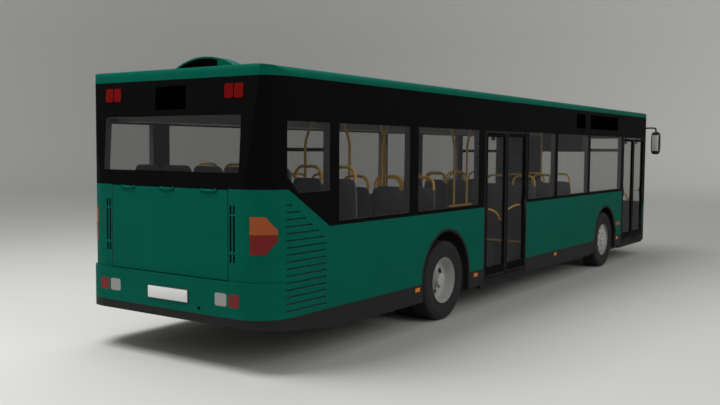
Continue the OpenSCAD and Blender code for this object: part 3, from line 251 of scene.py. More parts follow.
class ShaderGroups:
    """Node groups shared by the materials, each built once."""

    COLOUR, NUMBER, VECTOR = "NodeSocketColor", "NodeSocketFloat", "NodeSocketVector"
    DUST = (0.16, 0.15, 0.135, 1.0)
    RELIEF = 0.002

    def __init__(self) -> None:
        """Builds every group."""
        self.variation = self._variation()
        self.grain = self._grain()
        self.dust = self._dust()
        self.weave = self._weave()
        self.flake = self._flake()

    def _start(self, name: str,
               inputs: dict[str, float | None]) -> tuple[Net, bpy.types.NodeOutputs]:
        """Creates a group with its inputs.

        Args:
            name: Name of the group.
            inputs: Default of each input, none for a colour.

        Returns:
            The group's net and what is given to it.
        """
        group = bpy.data.node_groups.new(name, "ShaderNodeTree")
        for label, default in inputs.items():
            kind = self.COLOUR if default is None else self.NUMBER
            socket = group.interface.new_socket(name=label, in_out="INPUT", socket_type=kind)
            if default is not None:
                socket.default_value = default
        return Net(group), group.nodes.new("NodeGroupInput").outputs

    @staticmethod
    def _close(net: Net, outputs: dict[str, tuple[str, Socket]]) -> Tree:
        """Gives a group its outputs.

        Args:
            net: The group's net.
            outputs: Type and source of each output.

        Returns:
            The finished group.
        """
        for label, (kind, _) in outputs.items():
            net.tree.interface.new_socket(name=label, in_out="OUTPUT", socket_type=kind)
        sink = net.tree.nodes.new("NodeGroupOutput")
        net.feed(sink, {label: socket for label, (_, socket) in outputs.items()})
        return net.tree

    def _tinted(self, net: Net, given: bpy.types.NodeOutputs, swing: Socket) -> Tree:
        """Closes a group whose colour gets lighter and darker.

        Args:
            net: The group's net.
            given: Its inputs, Colour and Amount.
            swing: From -1 to 1, darker to lighter.

        Returns:
            The finished group.
        """
        gain = net.math("MULTIPLY_ADD", swing, given["Amount"], 1.0)
        colour = net.vector("SCALE", "Vector", {0: given["Colour"], "Scale": gain})
        return self._close(net, {"Colour": (self.COLOUR, colour)})

    def _variation(self) -> Tree:
        """Soft clouds that lighten and darken a colour.

        Returns:
            The group.
        """
        net, given = self._start("bus_variation", {"Colour": None, "Amount": 0.1})
        clouds = net.noise(net.place(), 2.6, 7.0)
        return self._tinted(net, given, net.math("MULTIPLY_ADD", clouds, 2.0, -1.0))

    def _grain(self) -> Tree:
        """Fine surface grain as a bumped normal and a roughness wobble.

        Returns:
            The group.
        """
        net, given = self._start("bus_grain", {"Scale": 500.0, "Height": 0.05, "Roughness": 0.4})
        noise = net.noise(net.place(), given["Scale"], 3.0)
        bump = net.add("Bump", {
            "Strength": given["Height"], "Distance": self.RELIEF, "Height": noise})
        rough = net.math("MULTIPLY_ADD", noise, 0.12, given["Roughness"])
        return self._close(net, {"Normal": (self.VECTOR, bump.outputs["Normal"]),
                                 "Roughness": (self.NUMBER, rough)})

    def _dust(self) -> Tree:
        """Road dust that fades out with height above the ground.

        Returns:
            The group.
        """
        net, given = self._start("bus_dust", {"Colour": None, "Amount": 0.1, "Top": 0.9})
        place = net.place()
        height = net.add("SeparateXYZ", {0: place}).outputs["Z"]
        fade = net.ramp(height, 0.2, given["Top"], 1.0, 0.0)
        patch = net.math("MULTIPLY", fade, net.noise(place, 9.0, 8.0))
        colour = net.mix(net.math("MULTIPLY", patch, given["Amount"]), given["Colour"], self.DUST)
        return self._close(net, {"Colour": (self.COLOUR, colour)})

    def _flake(self) -> Tree:
        """Fine sparkle in a paint: cells a few millimetres across, lighter and darker.

        Returns:
            The group.
        """
        net, given = self._start("bus_flake", {"Colour": None, "Amount": 0.2})
        cells = net.noise(net.place(), 95.0, 2.0)
        return self._tinted(net, given, net.ramp(cells, 0.3, 0.7, -1.0, 1.0))

    def _weave(self) -> Tree:
        """Moquette: a crossing weave with small scattered flecks.

        Returns:
            The group.
        """
        net, given = self._start("bus_weave", {"Ground": None, "Fleck": None})
        place = net.place()
        flecks = net.add("TexVoronoi", {"Vector": place, "Scale": 18.0}).outputs["Distance"]
        colour = net.mix(net.math("LESS_THAN", flecks, 0.17), given["Ground"], given["Fleck"])
        threads = net.add("TexWave", {"Vector": place, "Scale": 140.0, "Distortion": 1.5})
        bump = net.add("Bump", {
            "Strength": 0.06, "Distance": self.RELIEF, "Height": threads.outputs["Fac"]})
        return self._close(net, {"Colour": (self.COLOUR, colour),
                                 "Normal": (self.VECTOR, bump.outputs["Normal"])})


class Materials:
    """Makes each material once and hands it out by name."""

    GLASS_BASE: Colour = (0.018, 0.020, 0.020)
    GLASS_VEIL = 0.15
    GLASS_EDGE = 0.36
    MOQUETTE: tuple[Colour, Colour] = ((0.100, 0.102, 0.122), (0.128, 0.138, 0.162))
    # The grain adds this much roughness on average
    GRAIN_MEAN = 0.06
    LEAST_ROUGH = 0.02

    def __init__(self, groups: ShaderGroups) -> None:
        """Starts with no material made."""
        self.groups = groups
        self._made: dict[str, bpy.types.Material] = {}

    def _keep(self, name: str, wire: Callable[[Net], Inputs]) -> bpy.types.Material:
        """Makes a material the first time that it is asked for.

        Args:
            name: Name of the material.
            wire: Adds its nodes and returns what goes into the Principled shader.

        Returns:
            The shared material.
        """
        if name not in self._made:
            material = bpy.data.materials.new(name)
            material.use_nodes = True
            net = Net(material.node_tree)
            net.feed(material.node_tree.nodes["Principled BSDF"], wire(net))
            self._made[name] = material
        return self._made[name]

    def finish(self, kind: Palette) -> bpy.types.Material:
        """Material of one palette entry.

        Args:
            kind: The finish wanted.

        Returns:
            The shared material.
        """
        f, groups = kind.value, self.groups

        def wire(net: Net) -> Inputs:
            """Adds clouds, then flake and dust where the finish has them, then grain.

            Args:
                net: The material's net.

            Returns:
                What goes into the shader.
            """
            clouds = {"Colour": (*f.base, 1.0), "Amount": f.spread}
            colour = net.group(groups.variation, clouds)["Colour"]
            if f.flake > 0.0:
                colour = net.group(groups.flake, {"Colour": colour, "Amount": f.flake})["Colour"]
            if f.dust > 0.0:
                dust = {"Colour": colour, "Amount": f.dust, "Top": f.dust_top}
                colour = net.group(groups.dust, dust)["Colour"]
            grain = net.group(groups.grain, {
                "Scale": f.surface.scale, "Height": f.surface.height,
                "Roughness": max(f.roughness - self.GRAIN_MEAN, self.LEAST_ROUGH)})
            return {"Base Color": colour, "Roughness": grain["Roughness"],
                    "Normal": grain["Normal"], "Metallic": f.metallic, "Coat Weight": f.coat,
                    "Coat Roughness": 0.12, "Specular IOR Level": f.specular}

        return self._keep(f.name, wire)

    def glass(self) -> bpy.types.Material:
        """Lightly tinted glazing whose veil thickens at grazing angles.

        Returns:
            The shared material.
        """
        def wire(net: Net) -> Inputs:
            """Adds a dark tint, seen through by its alpha.

            Args:
                net: The material's net.

            Returns:
                What goes into the shader.
            """
            clouds = {"Colour": (*self.GLASS_BASE, 1.0), "Amount": 0.15}
            edge = net.add("LayerWeight", {"Blend": 0.2}).outputs["Facing"]
            return {"Base Color": net.group(self.groups.variation, clouds)["Colour"],
                    "Roughness": 0.03, "IOR": 1.5, "Specular IOR Level": 0.3,
                    "Alpha": net.ramp(edge, 0.0, 1.0, self.GLASS_VEIL, self.GLASS_EDGE)}

        material = self._keep("tinted_glass", wire)
        material.surface_render_method = "BLENDED"
        return material

    def moquette(self) -> bpy.types.Material:
        """Dark patterned seat cloth.

        Returns:
            The shared material.
        """
        def wire(net: Net) -> Inputs:
            """Adds the weave with its flecks.

            Args:
                net: The material's net.

            Returns:
                What goes into the shader.
            """
            ground, fleck = ((*colour, 1.0) for colour in self.MOQUETTE)
            weave = net.group(self.groups.weave, {"Ground": ground, "Fleck": fleck})
            return {"Base Color": weave["Colour"], "Normal": weave["Normal"], "Roughness": 0.9,
                    "Sheen Weight": 0.25}

        return self._keep("seat_moquette", wire)


class Shaper:
    """Collects faces of one piece in a bmesh and turns them into an object."""

    CUBE = ((0, 1, 3, 2), (4, 6, 7, 5), (0, 4, 5, 1), (2, 3, 7, 6), (0, 2, 6, 4), (1, 5, 7, 3))
    # Height and radius of each level of a nut, as shares of its own
    NUT = ((0.0, 1.0), (0.75, 1.0), (0.85, 0.8), (1.0, 0.5))
    FLATS = 6

    def __init__(self) -> None:
        """Starts with no faces."""
        self.bm = bmesh.new()

    def _bridge(self, rings: Sequence[list], loop: bool = False) -> list:
        """Joins each ring of vertices to the next.

        Args:
            rings: Closed rings of one length.
            loop: Whether the last ring joins the first.

        Returns:
            The new faces.
        """
        faces = []
        for low, high in zip(rings, [*rings[1:], rings[0]] if loop else rings[1:]):
            for k in range(len(low)):
                n = (k + 1) % len(low)
                faces.append(self.bm.faces.new((low[k], low[n], high[n], high[k])))
        return faces

    def _ring(self, outline: Sequence[Span], centre: Point, side: float, turn: Span) -> list:
        """Vertices of an outline at one angle about an axle across the bus."""
        c, s = turn
        return [self.bm.verts.new((centre[0] + r * c, centre[1] + side * w, centre[2] + r * s))
                for r, w in outline]

    def slab(self, x: Span, y: Span, z: Span, edge: float = 0.004, steps: int = 2) -> "Shaper":
        """Adds a box with rounded edges.

        Args:
            x: Lowest and highest X.
            y: Lowest and highest Y.
            z: Lowest and highest Z.
            edge: Radius of the edges.
            steps: Segments across each edge.

        Returns:
            This shaper.
        """
        corners = [self.bm.verts.new((a, b, c)) for a in x for b in y for c in z]
        faces = [self.bm.faces.new([corners[i] for i in quad]) for quad in self.CUBE]
        bmesh.ops.recalc_face_normals(self.bm, faces=faces)
        edges = list({e for f in faces for e in f.edges})
        bmesh.ops.bevel(self.bm, geom=edges, offset=edge, segments=steps, affect="EDGES",
                        profile=0.5)
        return self

    def tube(self, path: Sequence[Point], radius: float, sides: int = 12) -> "Shaper":
        """Adds a round tube along a path, closed at both ends.

        Args:
            path: Points that the tube follows.
            radius: Radius of the tube.
            sides: Flats round the tube.

        Returns:
            This shaper.
        """
        points = [Vector(p) for p in path]
        reach = [points[0], *points, points[-1]]
        rings, across = [], None
        for before, point, after in zip(reach, points, reach[2:]):
            ahead = (after - before).normalized()
            if across is None:
                across = ahead.orthogonal().normalized()
            across = (across - ahead * across.dot(ahead)).normalized()
            other = ahead.cross(across)
            rings.append([self.bm.verts.new(point + radius * (c * across + s * other))
                          for c, s in circle(sides)])
        self._bridge(rings)
        self.bm.faces.new(list(reversed(rings[0])))
        self.bm.faces.new(rings[-1])
        return self

    def lathe(self, profile: Sequence[Span], centre: Point, side: float = 1.0,
              sides: int = 96) -> "Shaper":
        """Turns a closed profile about an axle across the bus.

        Args:
            profile: Radius and distance along the axle of each corner.
            centre: A point on the axle.
            side: 1 or -1, the direction of the distances along Y.
            sides: Steps round the axle.

        Returns:
            This shaper.
        """
        rings = [self._ring(profile, centre, side, turn) for turn in circle(sides)]
        bmesh.ops.recalc_face_normals(self.bm, faces=self._bridge(rings, loop=True))
        return self

    def dish(self, profile: Sequence[Span], strips: dict[int, int], centre: Point, side: float,
             count: int = 6, pitch: int = 16, thick: float = 0.006) -> "Shaper":
        """Turns a pressed plate about an axle across the bus and leaves hand holes open.

        Args:
            profile: Radius and distance along the axle of each corner of the outer face, from
                the rim inwards.
            strips: For each pierced strip between two corners, how many steps of a pitch stay open.
            centre: A point on the axle.
            side: 1 or -1, the direction of the distances along Y.
            count: How many holes.
            pitch: Steps from hole to hole.
            thick: Thickness of the plate.

        Returns:
            This shaper.
        """
        last, sides = len(profile) - 1, count * pitch
        inner: list[Span] = []
        for i, (r, w) in enumerate(profile):
            before, after = profile[max(i - 1, 0)], profile[min(i + 1, last)]
            run, rise = after[0] - before[0], after[1] - before[1]
            size = math.hypot(run, rise)
            inner.append((r - thick * rise / size, w + thick * run / size))
        skins = [[self._ring(outline, centre, side, turn) for turn in circle(sides)]
                 for outline in (profile, inner)]
        front, back = skins
        faces = []

        def solid(i: int, k: int) -> bool:
            """True where the plate has metal at one strip and step."""
            gap = strips.get(i, 0)
            return 0 <= i < last and not (pitch - gap) // 2 <= k % pitch < (pitch + gap) // 2

        def quad(*corners: "bmesh.types.BMVert") -> None:
            """Adds one face."""
            faces.append(self.bm.faces.new(corners))

        for k in range(sides):
            n = (k + 1) % sides
            for i in range(last):
                if solid(i, k):
                    for skin in skins:
                        quad(skin[k][i], skin[k][i + 1], skin[n][i + 1], skin[n][i])
                if solid(i, k) != solid(i - 1, k):
                    quad(front[k][i], front[n][i], back[n][i], back[k][i])
                if solid(i, k) != solid(i, n):
                    quad(front[n][i], front[n][i + 1], back[n][i + 1], back[n][i])
        for skin in skins:
            quad(*(ring[last] for ring in skin))
        spare = [v for skin in skins for ring in skin for v in ring if not v.link_faces]
        bmesh.ops.delete(self.bm, geom=spare, context="VERTS")
        bmesh.ops.recalc_face_normals(self.bm, faces=faces)
        return self

    def pillow(self, middle: Point, half: Point, shape: Callable[[Vector], Vector],
               square: float, cuts: int = 9) -> "Shaper":
        """Adds a crowned closed form.

        Args:
            middle: Where the middle of the form stands.
            half: Half its size along each axis.
            shape: Moves a point of the unit form, to crown or taper it.
            square: Higher values keep the corners squarer.
            cuts: Cuts along each edge.

        Returns:
            This shaper.
        """
        place, steps = Matrix.Translation(middle), cuts + 1
        seen: dict[tuple[int, ...], "bmesh.types.BMVert"] = {}

        def corner(spot: tuple[int, ...]) -> "bmesh.types.BMVert":
            """Makes the vertex at one grid place of the cube once.

            Args:
                spot: Steps along each axis.

            Returns:
                The vertex.
            """
            if spot not in seen:
                p = Vector([2.0 * c / steps - 1.0 for c in spot])
                norm = sum(abs(c) ** square for c in p) ** (1.0 / square)
                unit = shape(p / norm)
                seen[spot] = self.bm.verts.new(place @ Vector([u * h for u, h in zip(unit, half)]))
            return seen[spot]

        cells = [(i, j) for i in range(steps) for j in range(steps)]
        for axis, level in ((axis, level) for axis in range(3) for level in (0, steps)):
            for i, j in cells:
                ring = []
                for a, b in ((i, j), (i + 1, j), (i + 1, j + 1), (i, j + 1)):
                    spot = [0, 0, 0]
                    spot[axis], spot[(axis + 1) % 3], spot[(axis + 2) % 3] = level, a, b
                    ring.append(corner(tuple(spot)))
                self.bm.faces.new(ring if level else list(reversed(ring)))
        return self

    def nuts(self, centre: Point, ring: float, count: int, size: float, side: float,
             tall: float) -> "Shaper":
        """Adds a ring of six-sided nuts with a rounded stud end.

        Args:
            centre: Middle of the ring, on the face that carries the nuts.
            ring: Radius of the ring.
            count: How many nuts.
            size: Radius of one nut.
            side: 1 or -1, the direction along Y that the nuts stand out.
            tall: How far they stand out.

        Returns:
            This shaper.
        """
        for c, s in circle(count):
            x, z = centre[0] + ring * c, centre[2] + ring * s
            rings = [[self.bm.verts.new((x + share * size * u, centre[1] + side * rise * tall,
                                         z + share * size * v)) for u, v in circle(self.FLATS)]
                     for rise, share in self.NUT]
            faces = self._bridge(rings)
            faces += [self.bm.faces.new(end) for end in (rings[0], rings[-1])]
            bmesh.ops.recalc_face_normals(self.bm, faces=faces)
        return self

    def piece(self, name: str, material: bpy.types.Material, body: str, slot: str,
              replaces: Sequence[str] = (), smooth: float = 40.0) -> bpy.types.Object:
        """Turns the collected faces into a piece that rides on a body.

        Args:
            name: Name of the piece.
            material: Its finish.
            body: The body it moves with.
            slot: Name of a material slot; not used.
            replaces: Solids that it stands for.
            smooth: Angle in degrees below which edges are shaded round.

        Returns:
            The new object.
        """
        mesh = bpy.data.meshes.new(name)
        self.bm.normal_update()
        self.bm.to_mesh(mesh)
        self.bm.free()
        mesh.materials.append(material)
        mesh.shade_smooth()
        mesh.set_sharp_from_angle(angle=math.radians(smooth))
        obj = bpy.data.objects.new(name, mesh)
        bpy.context.scene.collection.objects.link(obj)
        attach(obj, body)
        if replaces:
            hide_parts(*replaces)
        log.info("piece %s: %d faces on %s", name, len(mesh.polygons), body)
        return obj


@dataclass
class Coachwork:
    """Gives every solid that stays visible its finish."""

    materials: Materials
    finishes: dict[Palette, tuple[str, ...]] = field(default_factory=lambda: {
        Palette.GREEN: ("side_panels_right", "side_panels_left", "rear_corners", "engine_lid",
                        "roof", "roof_cowl", "front_panel", "rear_bumper"),
        Palette.BLACK: ("window_band_right", "window_band_left", "front_frame", "rear_frame"),
        Palette.DARK: ("skirts", "arch_lips", "front_bumper"),
        Palette.SEAL: ("door_frames",),
        Palette.STEEL: ("front_axle", "rear_axle", "engine", "knuckle_left", "knuckle_right"),
        Palette.RIM: ("front_rim_left", "front_rim_right", "rear_wheel_left", "rear_wheel_right"),
        Palette.LINING: ("ceiling",),
        Palette.FLOOR: ("floor", "wheel_boxes"),
        Palette.CAB: ("dashboard", "driver_partition"),
        Palette.SIGN: ("signs",),
        Palette.MARKER: ("marker_lamps",),
        Palette.HEADLAMP: ("head_lamps",),
        Palette.RED: ("tail_lamps", "rear_lamps"),
    })
    panes: tuple[str, ...] = ("side_glass", "rear_window", "windscreen")
    lined: tuple[str, ...] = (
        "window_band_right", "window_band_left", "rear_frame", "front_frame",
        "side_panels_right", "side_panels_left", "rear_corners", "front_panel")
    # Heights that part the tail's lamps, and where the pale ones end across the bus
    lamp_parting: float = 1.280
    bumper_lamps: float = 1.0
    upper_lamps: float = 2.0
    reversing_edge: float = 0.815
    # Upright slots in the tail, whose walls and floor get painted shade: their reach across the bus
    # and their depth
    slots: Span = (0.815, 0.895)
    slot_depth: Span = (0.001, 0.03)
    # Line along the saloon that inner faces look at
    heart: Span = (-4.8, 4.4)
    sill: float = 1.2
    waist: float = 1.688

    def dress(self, nodes: dict) -> None:
        """Assigns a finish to each solid.

        Args:
            nodes: The frame's solids by name.
        """
        done: set[str] = set()
        for kind, names in self.finishes.items():
            for name in names:
                self._coat(name, self.materials.finish(kind))
                done.add(name)
        for name in nodes:
            if "_glass_" in name or name in self.panes:
                self._coat(name, self.materials.glass())
            elif "_leaf_" in name or "_post_" in name:
                self._coat(name, self.materials.finish(Palette.BLACK))
            elif name not in done:
                self._coat(name, self.materials.finish(Palette.SHELL))
        for name in self.lined:
            self._pick(name, Palette.PILLAR, self._inner)
        self._pick("tail_lamps", Palette.AMBER, lambda c, n: c.z > self.lamp_parting)
        self._pick("rear_lamps", Palette.CLEAR,
                   lambda c, n: c.z < self.bumper_lamps and abs(c.y) < self.reversing_edge)
        self._pick("rear_lamps", Palette.DEEP_RED, lambda c, n: c.z > self.upper_lamps)
        self._pick("rear_frame", Palette.GREEN, lambda c, n: c.z < self.waist)
        # Painted shade in a recess: the walls and floor of the tail's slots are painted near-black
        self._pick("rear_corners", Palette.RECESS_SHADE, self._in_slot)
        # Painted shade in a recess: the inside of the roof cowl's mouth is painted near-black
        self._pick("roof_cowl", Palette.RECESS_SHADE, self._in_mouth)
        self._pick("floor", Palette.DARK, lambda c, n: abs(c.y) > self.sill or n.z < -0.5)

    @staticmethod
    def _coat(name: str, material: bpy.types.Material) -> None:
        """Puts one material on all faces of a solid.

        Args:
            name: The solid.
            material: Its material.
        """
        mesh = bpy.data.objects[name].data
        mesh.materials.clear()
        mesh.materials.append(material)

    def _pick(self, name: str, kind: Palette, test: Callable[[Vector, Vector], bool]) -> None:
        """Gives some faces of a solid a second finish.

        Args:
            name: The solid.
            kind: The second finish.
            test: Takes a face's middle and normal, true where it gets the finish.
        """
        mesh = bpy.data.objects[name].data
        mesh.materials.append(self.materials.finish(kind))
        last = len(mesh.materials) - 1
        for face in mesh.polygons:
            if test(face.center, face.normal):
                face.material_index = last

    def _inner(self, c: Vector, n: Vector) -> bool:
        """True for the inner faces and reveals of the walls."""
        heart = Vector((min(max(c.x, self.heart[0]), self.heart[1]), 0.0, c.z))
        return n.dot((c - heart).normalized()) < 0.3

    def _in_slot(self, c: Vector, _: Vector) -> bool:
        """True for the walls and floor of the upright slots in the tail, where shade is painted."""
        deep = self.slot_depth[0] < c.x - TAIL_X < self.slot_depth[1]
        return deep and self.slots[0] < abs(c.y) < self.slots[1]

    @staticmethod
    def _in_mouth(c: Vector, n: Vector) -> bool:
        """Finds the inside of the roof cowl's mouth, where shade is painted.

        Args:
            c: A face's middle.
            n: Its normal.

        Returns:
            True where the face lies inside.
        """
        low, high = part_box("roof_cowl")
        inside = low[0] + 0.002 < c.x < high[0] - 0.002
        return inside and (n.z < -0.3 or abs(n.y) > 0.9 or n.x < -0.9)


class Row(NamedTuple):
    """One row of seats: its place ahead of the rear axle and its heights."""

    x: float
    z: float
    tall: float
    foot: float
    slim: float = 0.08


@dataclass
class Seats:
    """Upholstered seats that replace the plain cushions and backs."""

    materials: Materials
    rows: tuple[Row, ...] = (
        Row(-1.800, 1.030, 0.720, 0.730), Row(-0.900, 1.108, 0.515, 1.108),
        Row(-0.150, 1.108, 0.495, 1.108), Row(2.905, 0.660, 0.890, 0.330),
        Row(3.636, 0.660, 0.890, 0.330), Row(4.366, 0.660, 0.890, 0.330))
    places: tuple[float, ...] = (0.970, 0.528)
    bench: Row = Row(-2.764, 1.220, 0.660, 0.905, 0.03)
    bench_places: tuple[float, ...] = tuple(0.442 * k for k in range(-2, 3))
    driver: Row = Row(7.114, 0.910, 0.720, 0.480)
    driver_y: float = 0.760
    width: float = 0.430
    depth: float = 0.430
    back: float = 0.060
    # Hoop: half its width, bend radius, height of its top above the back, radius of its tube
    hoop: tuple[float, float, float, float] = (0.172, 0.100, 0.123, 0.017)
    hoop_root: float = 0.03
    # Cushion: rise of its crown, depth and width of the hollow, waist and nose, as shares
    crown: float = 0.34
    hollow: Span = (0.16, 0.55)
    waist: float = 0.035
    nose: float = 0.03
    flat: float = 0.82
    # Cushion: middle above the underside, half its thickness, gap at each side
    pad: Point = (0.042, 0.030, 0.004)
    # Back pad: middle ahead of the rear face, half its thickness, gap at each side
    rest: Point = (0.038, 0.021, 0.018)
    # Back pad: start above the cushion's underside, drop of its middle, gap at both ends
    rest_ends: Point = (0.055, 0.006, 0.010)
    # Moulded rear: half its thickness, gap at each side
    rear: Span = (0.014, 0.002)
    rest_flat: float = 0.8
    rest_crown: float = 0.30
    # Tray: inset at its rear, front and sides, thickness
    tray: tuple[float, float, float, float] = (0.02, 0.012, 0.006, 0.022)
    # Foot: share of the depth, half its length and width, reach into the tray, least height
    foot_share: float = 0.27
    foot: Span = (0.075, 0.085)
    foot_lap: float = 0.004
    foot_least: float = 0.05
    pad_smooth: float = 80.0

    def build(self) -> None:
        """Makes cushions, backs with their covers, shells and feet."""
        cushions, backs, covers, shells, hoops = (Shaper() for _ in range(5))
        spots = [(row, side * y) for row in self.rows for y in self.places for side in SIDES]
        for row, y in spots:
            self._hoop(hoops, along(row.x) + self.back / 2, y, row.z + row.tall)
        yellow = self.materials.finish(Palette.YELLOW)
        hoops.piece("seat_hoop_tubes", yellow, ROOT, "yellow", ("seat_hoops",))
        for row, y in spots + [(self.bench, y) for y in self.bench_places]:
            self._cushion(cushions, row, y)
            self._back(backs, covers, row, y)
            self._shell(shells, row, y)
        cloth = self.materials.moquette()
        shell = self.materials.finish(Palette.SHELL)
        seats = cushions.piece("seat_cushions", cloth, ROOT, "seat", ("seats",), self.pad_smooth)
        rests = backs.piece("seat_back_pads", cloth, ROOT, "seat", ("seat_backs",), self.pad_smooth)
        covers.piece("seat_covers", cloth, ROOT, "seat")
        shells.piece("seat_shells", shell, ROOT, "dark")
        self._driver(cloth, shell)

    def _hoop(self, tubes: Shaper, x: float, y: float, z: float) -> None:
        """Adds the hoop that stands on a seat back, bent at both shoulders.

        Args:
            tubes: Collects the faces.
            x: Middle of the seat back's thickness.
            y: Middle of the seat.
            z: Top of the seat back.
        """
        reach, bend, top, tube = self.hoop
        left = [(x, y + reach, z - self.hoop_root)]
        left += [(x, y + reach - bend + bend * c, z + top - bend + bend * s) for c, s in quarter(6)]
        right = [(px, 2 * y - py, pz) for px, py, pz in reversed(left)]
        tubes.tube([*left, *right], tube)

    def _driver(self, cloth: bpy.types.Material, shell: bpy.types.Material) -> None:
        """Makes the driver's seat on its own foot.

        Args:
            cloth: Material of the pads.
            shell: Material of the shell.
        """
        pads, mount = Shaper(), Shaper()
        self._cushion(pads, self.driver, self.driver_y)
        self._back(pads, mount, self.driver, self.driver_y)
        self._shell(mount, self.driver, self.driver_y)
        seat = pads.piece("driver_pads", cloth, ROOT, "seat", ("driver_seat",), self.pad_smooth)
        mount.piece("driver_shell", shell, ROOT, "dark")

    def _cushion(self, shaper: Shaper, row: Row, y: float) -> None:
        """Adds one crowned cushion.

        Args:
            shaper: Collects the faces.
            row: The seat's row.
            y: Middle of the seat.
        """
        def crown(p: Vector) -> Vector:
            """Raises the top, hollows its middle and draws in the sides.

            Args:
                p: A point of the unit form.

            Returns:
                The same point, moved.
            """
            over, wide, rise = 1.0 - p.x * p.x, 1.0 - p.y * p.y, 0.0
            if p.z > 0.0:
                dish = self.hollow[0] * math.exp(-((p.y / self.hollow[1]) ** 2))
                rise = (self.crown * wide - dish) * over
            return Vector((p.x * (1.0 - self.nose * wide), p.y * (1.0 - self.waist * over),
                           p.z * self.flat + rise))

        rise, thick, gap = self.pad
        middle = (along(row.x) + self.back + self.depth / 2, y, row.z + rise)
        shaper.pillow(middle, (self.depth / 2, self.width / 2 - gap, thick), crown, 6.0)

    def _back(self, pads: Shaper, covers: Shaper, row: Row, y: float) -> None:
        """Adds one seat back: a crowned pad in front of its moulded rear.

        Args:
            pads: Collects the pad's faces.
            covers: Collects the rear's faces.
            row: The seat's row.
            y: Middle of the seat.
        """
        def taper(p: Vector) -> Vector:
            """Narrows the back upwards and crowns its front.

            Args:
                p: A point of the unit form.

            Returns:
                The same point, moved.
            """
            narrow = 1.0 - row.slim * 0.5 * (p.z + 1.0)
            crown = self.rest_crown * (1.0 - p.y * p.y) * (1.0 - p.z * p.z) if p.x > 0.0 else 0.0
            return Vector((p.x * self.rest_flat + crown, p.y * narrow, p.z))

        x, wide = along(row.x), self.width / 2
        (ahead, thick, gap), (start, drop, ends) = self.rest, self.rest_ends
        low = row.z + start
        half = (row.z + row.tall - low) / 2
        size = (thick, wide - gap, half - ends)
        pads.pillow((x + ahead, y, low + half - drop), size, taper, 7.0)
        size = (self.rear[0], wide - self.rear[1], row.tall / 2)
        covers.pillow((x + size[0], y, row.z + size[2]), size, taper, 8.0)

    def _shell(self, shaper: Shaper, row: Row, y: float) -> None:
        """Adds the tray under a cushion and the foot below it.

        Args:
            shaper: Collects the faces.
            row: The seat's row.
            y: Middle of the seat.
        """
        rear, front, side, thick = self.tray
        x = along(row.x)
        reach = (x + rear, x + self.back + self.depth - front)
        shaper.slab(reach, around(y, self.width / 2 - side), (row.z, row.z + thick), 0.010, 3)
        if row.z - row.foot > self.foot_least:
            mid = x + self.back + self.depth * self.foot_share
            shaper.slab(around(mid, self.foot[0]), around(y, self.foot[1]),
                        (row.foot, row.z + self.foot_lap), 0.02, 3)


@dataclass
class Doors:
    """Rubber edges, handrails and brackets of the four door leaves."""

    materials: Materials
    # Each leaf: body name, outer edge and leading edge ahead of the rear axle
    leaves: tuple[tuple[str, float, float], ...] = (
        ("middle_leaf_rear", 1.033, 1.666), ("middle_leaf_fore", 2.311, 1.678),
        ("front_leaf_rear", 6.793, 7.419), ("front_leaf_fore", 8.057, 7.431))
    outer_y: float = -1.271
    inner_y: float = -1.233
    low: float = 0.375
    high: float = 2.285
    # Handrail: top, fall, gap to the leaf, inset at the outer edge, both insets, radius
    rail_top: float = 1.285
    rail_fall: float = 0.17
    rail_gap: float = 0.040
    rail_inset: float = 0.034
    rail_insets: float = 0.085
    rail_tube: float = 0.014
    handle: Span = (1.215, 1.365)

    def build(self) -> None:
        """Dresses each leaf."""
        for body, outer, leading in self.leaves:
            way = 1.0 if leading > outer else -1.0
            self._rubber(body, along(outer), along(leading), way)
            self._rail(body, along(outer), abs(leading - outer), way)

    def _rubber(self, body: str, outer: float, leading: float, way: float) -> None:
        """Finger guard with its rib along the leading edge and a seal along the foot.

        Args:
            body: The leaf's body.
            outer: Edge at the doorway's side.
            leading: Edge at the doorway's middle.
            way: 1 where the leading edge lies ahead, otherwise -1.
        """
        y = self.outer_y
        shaper = Shaper()
        guard = ordered(leading - way * 0.050, leading - way * 0.001)
        shaper.slab(guard, (y - 0.003, y + 0.010), (self.low + 0.004, self.high - 0.004), 0.004, 3)
        rib = ordered(leading - way * 0.018, leading - way * 0.012)
        shaper.slab(rib, (y - 0.0055, y), (self.low + 0.01, self.high - 0.01), 0.0015, 2)
        foot = ordered(outer + way * 0.01, leading - way * 0.055)
        shaper.slab(foot, (y - 0.003, y + 0.008), (self.low, self.low + 0.035), 0.003, 2)
        shaper.piece(f"{body}_rubber", self.materials.finish(Palette.SEAL), body, "dark")

    def _rail(self, body: str, outer: float, span: float, way: float) -> None:
        """Curved handrail on the inner face with its brackets, and the outer handle.

        Args:
            body: The leaf's body.
            outer: Edge at the doorway's side.
            span: Width of the leaf.
            way: 1 where the leading edge lies ahead, otherwise -1.
        """
        y, root = self.inner_y + self.rail_gap, self.inner_y - 0.004
        path = [(outer + way * (self.rail_inset + s * (span - self.rail_insets)), y,
                 self.rail_top - self.rail_fall * (1.0 - c)) for c, s in quarter(16)]
        ends = [[(x, root, z), (x, y - 0.012, z)] for x, _, z in (path[0], path[-1])]
        tube = Shaper().tube([*ends[0], *path, *reversed(ends[1])], self.rail_tube)
        tube.piece(f"{body}_rail", self.materials.finish(Palette.YELLOW), body, "yellow")
        lugs = Shaper()
        for (x, _, z), _ in ends:
            seat = (self.inner_y - 0.002, self.inner_y + 0.010)
            lugs.slab(around(x, 0.020), seat, around(z, 0.045), 0.004, 3)
        edge = ordered(outer + way * 0.003, outer + way * 0.060)
        lugs.slab(edge, (self.outer_y - 0.012, self.outer_y + 0.004), self.handle, 0.006, 3)
        lugs.piece(f"{body}_lugs", self.materials.finish(Palette.SEAL), body, "dark")


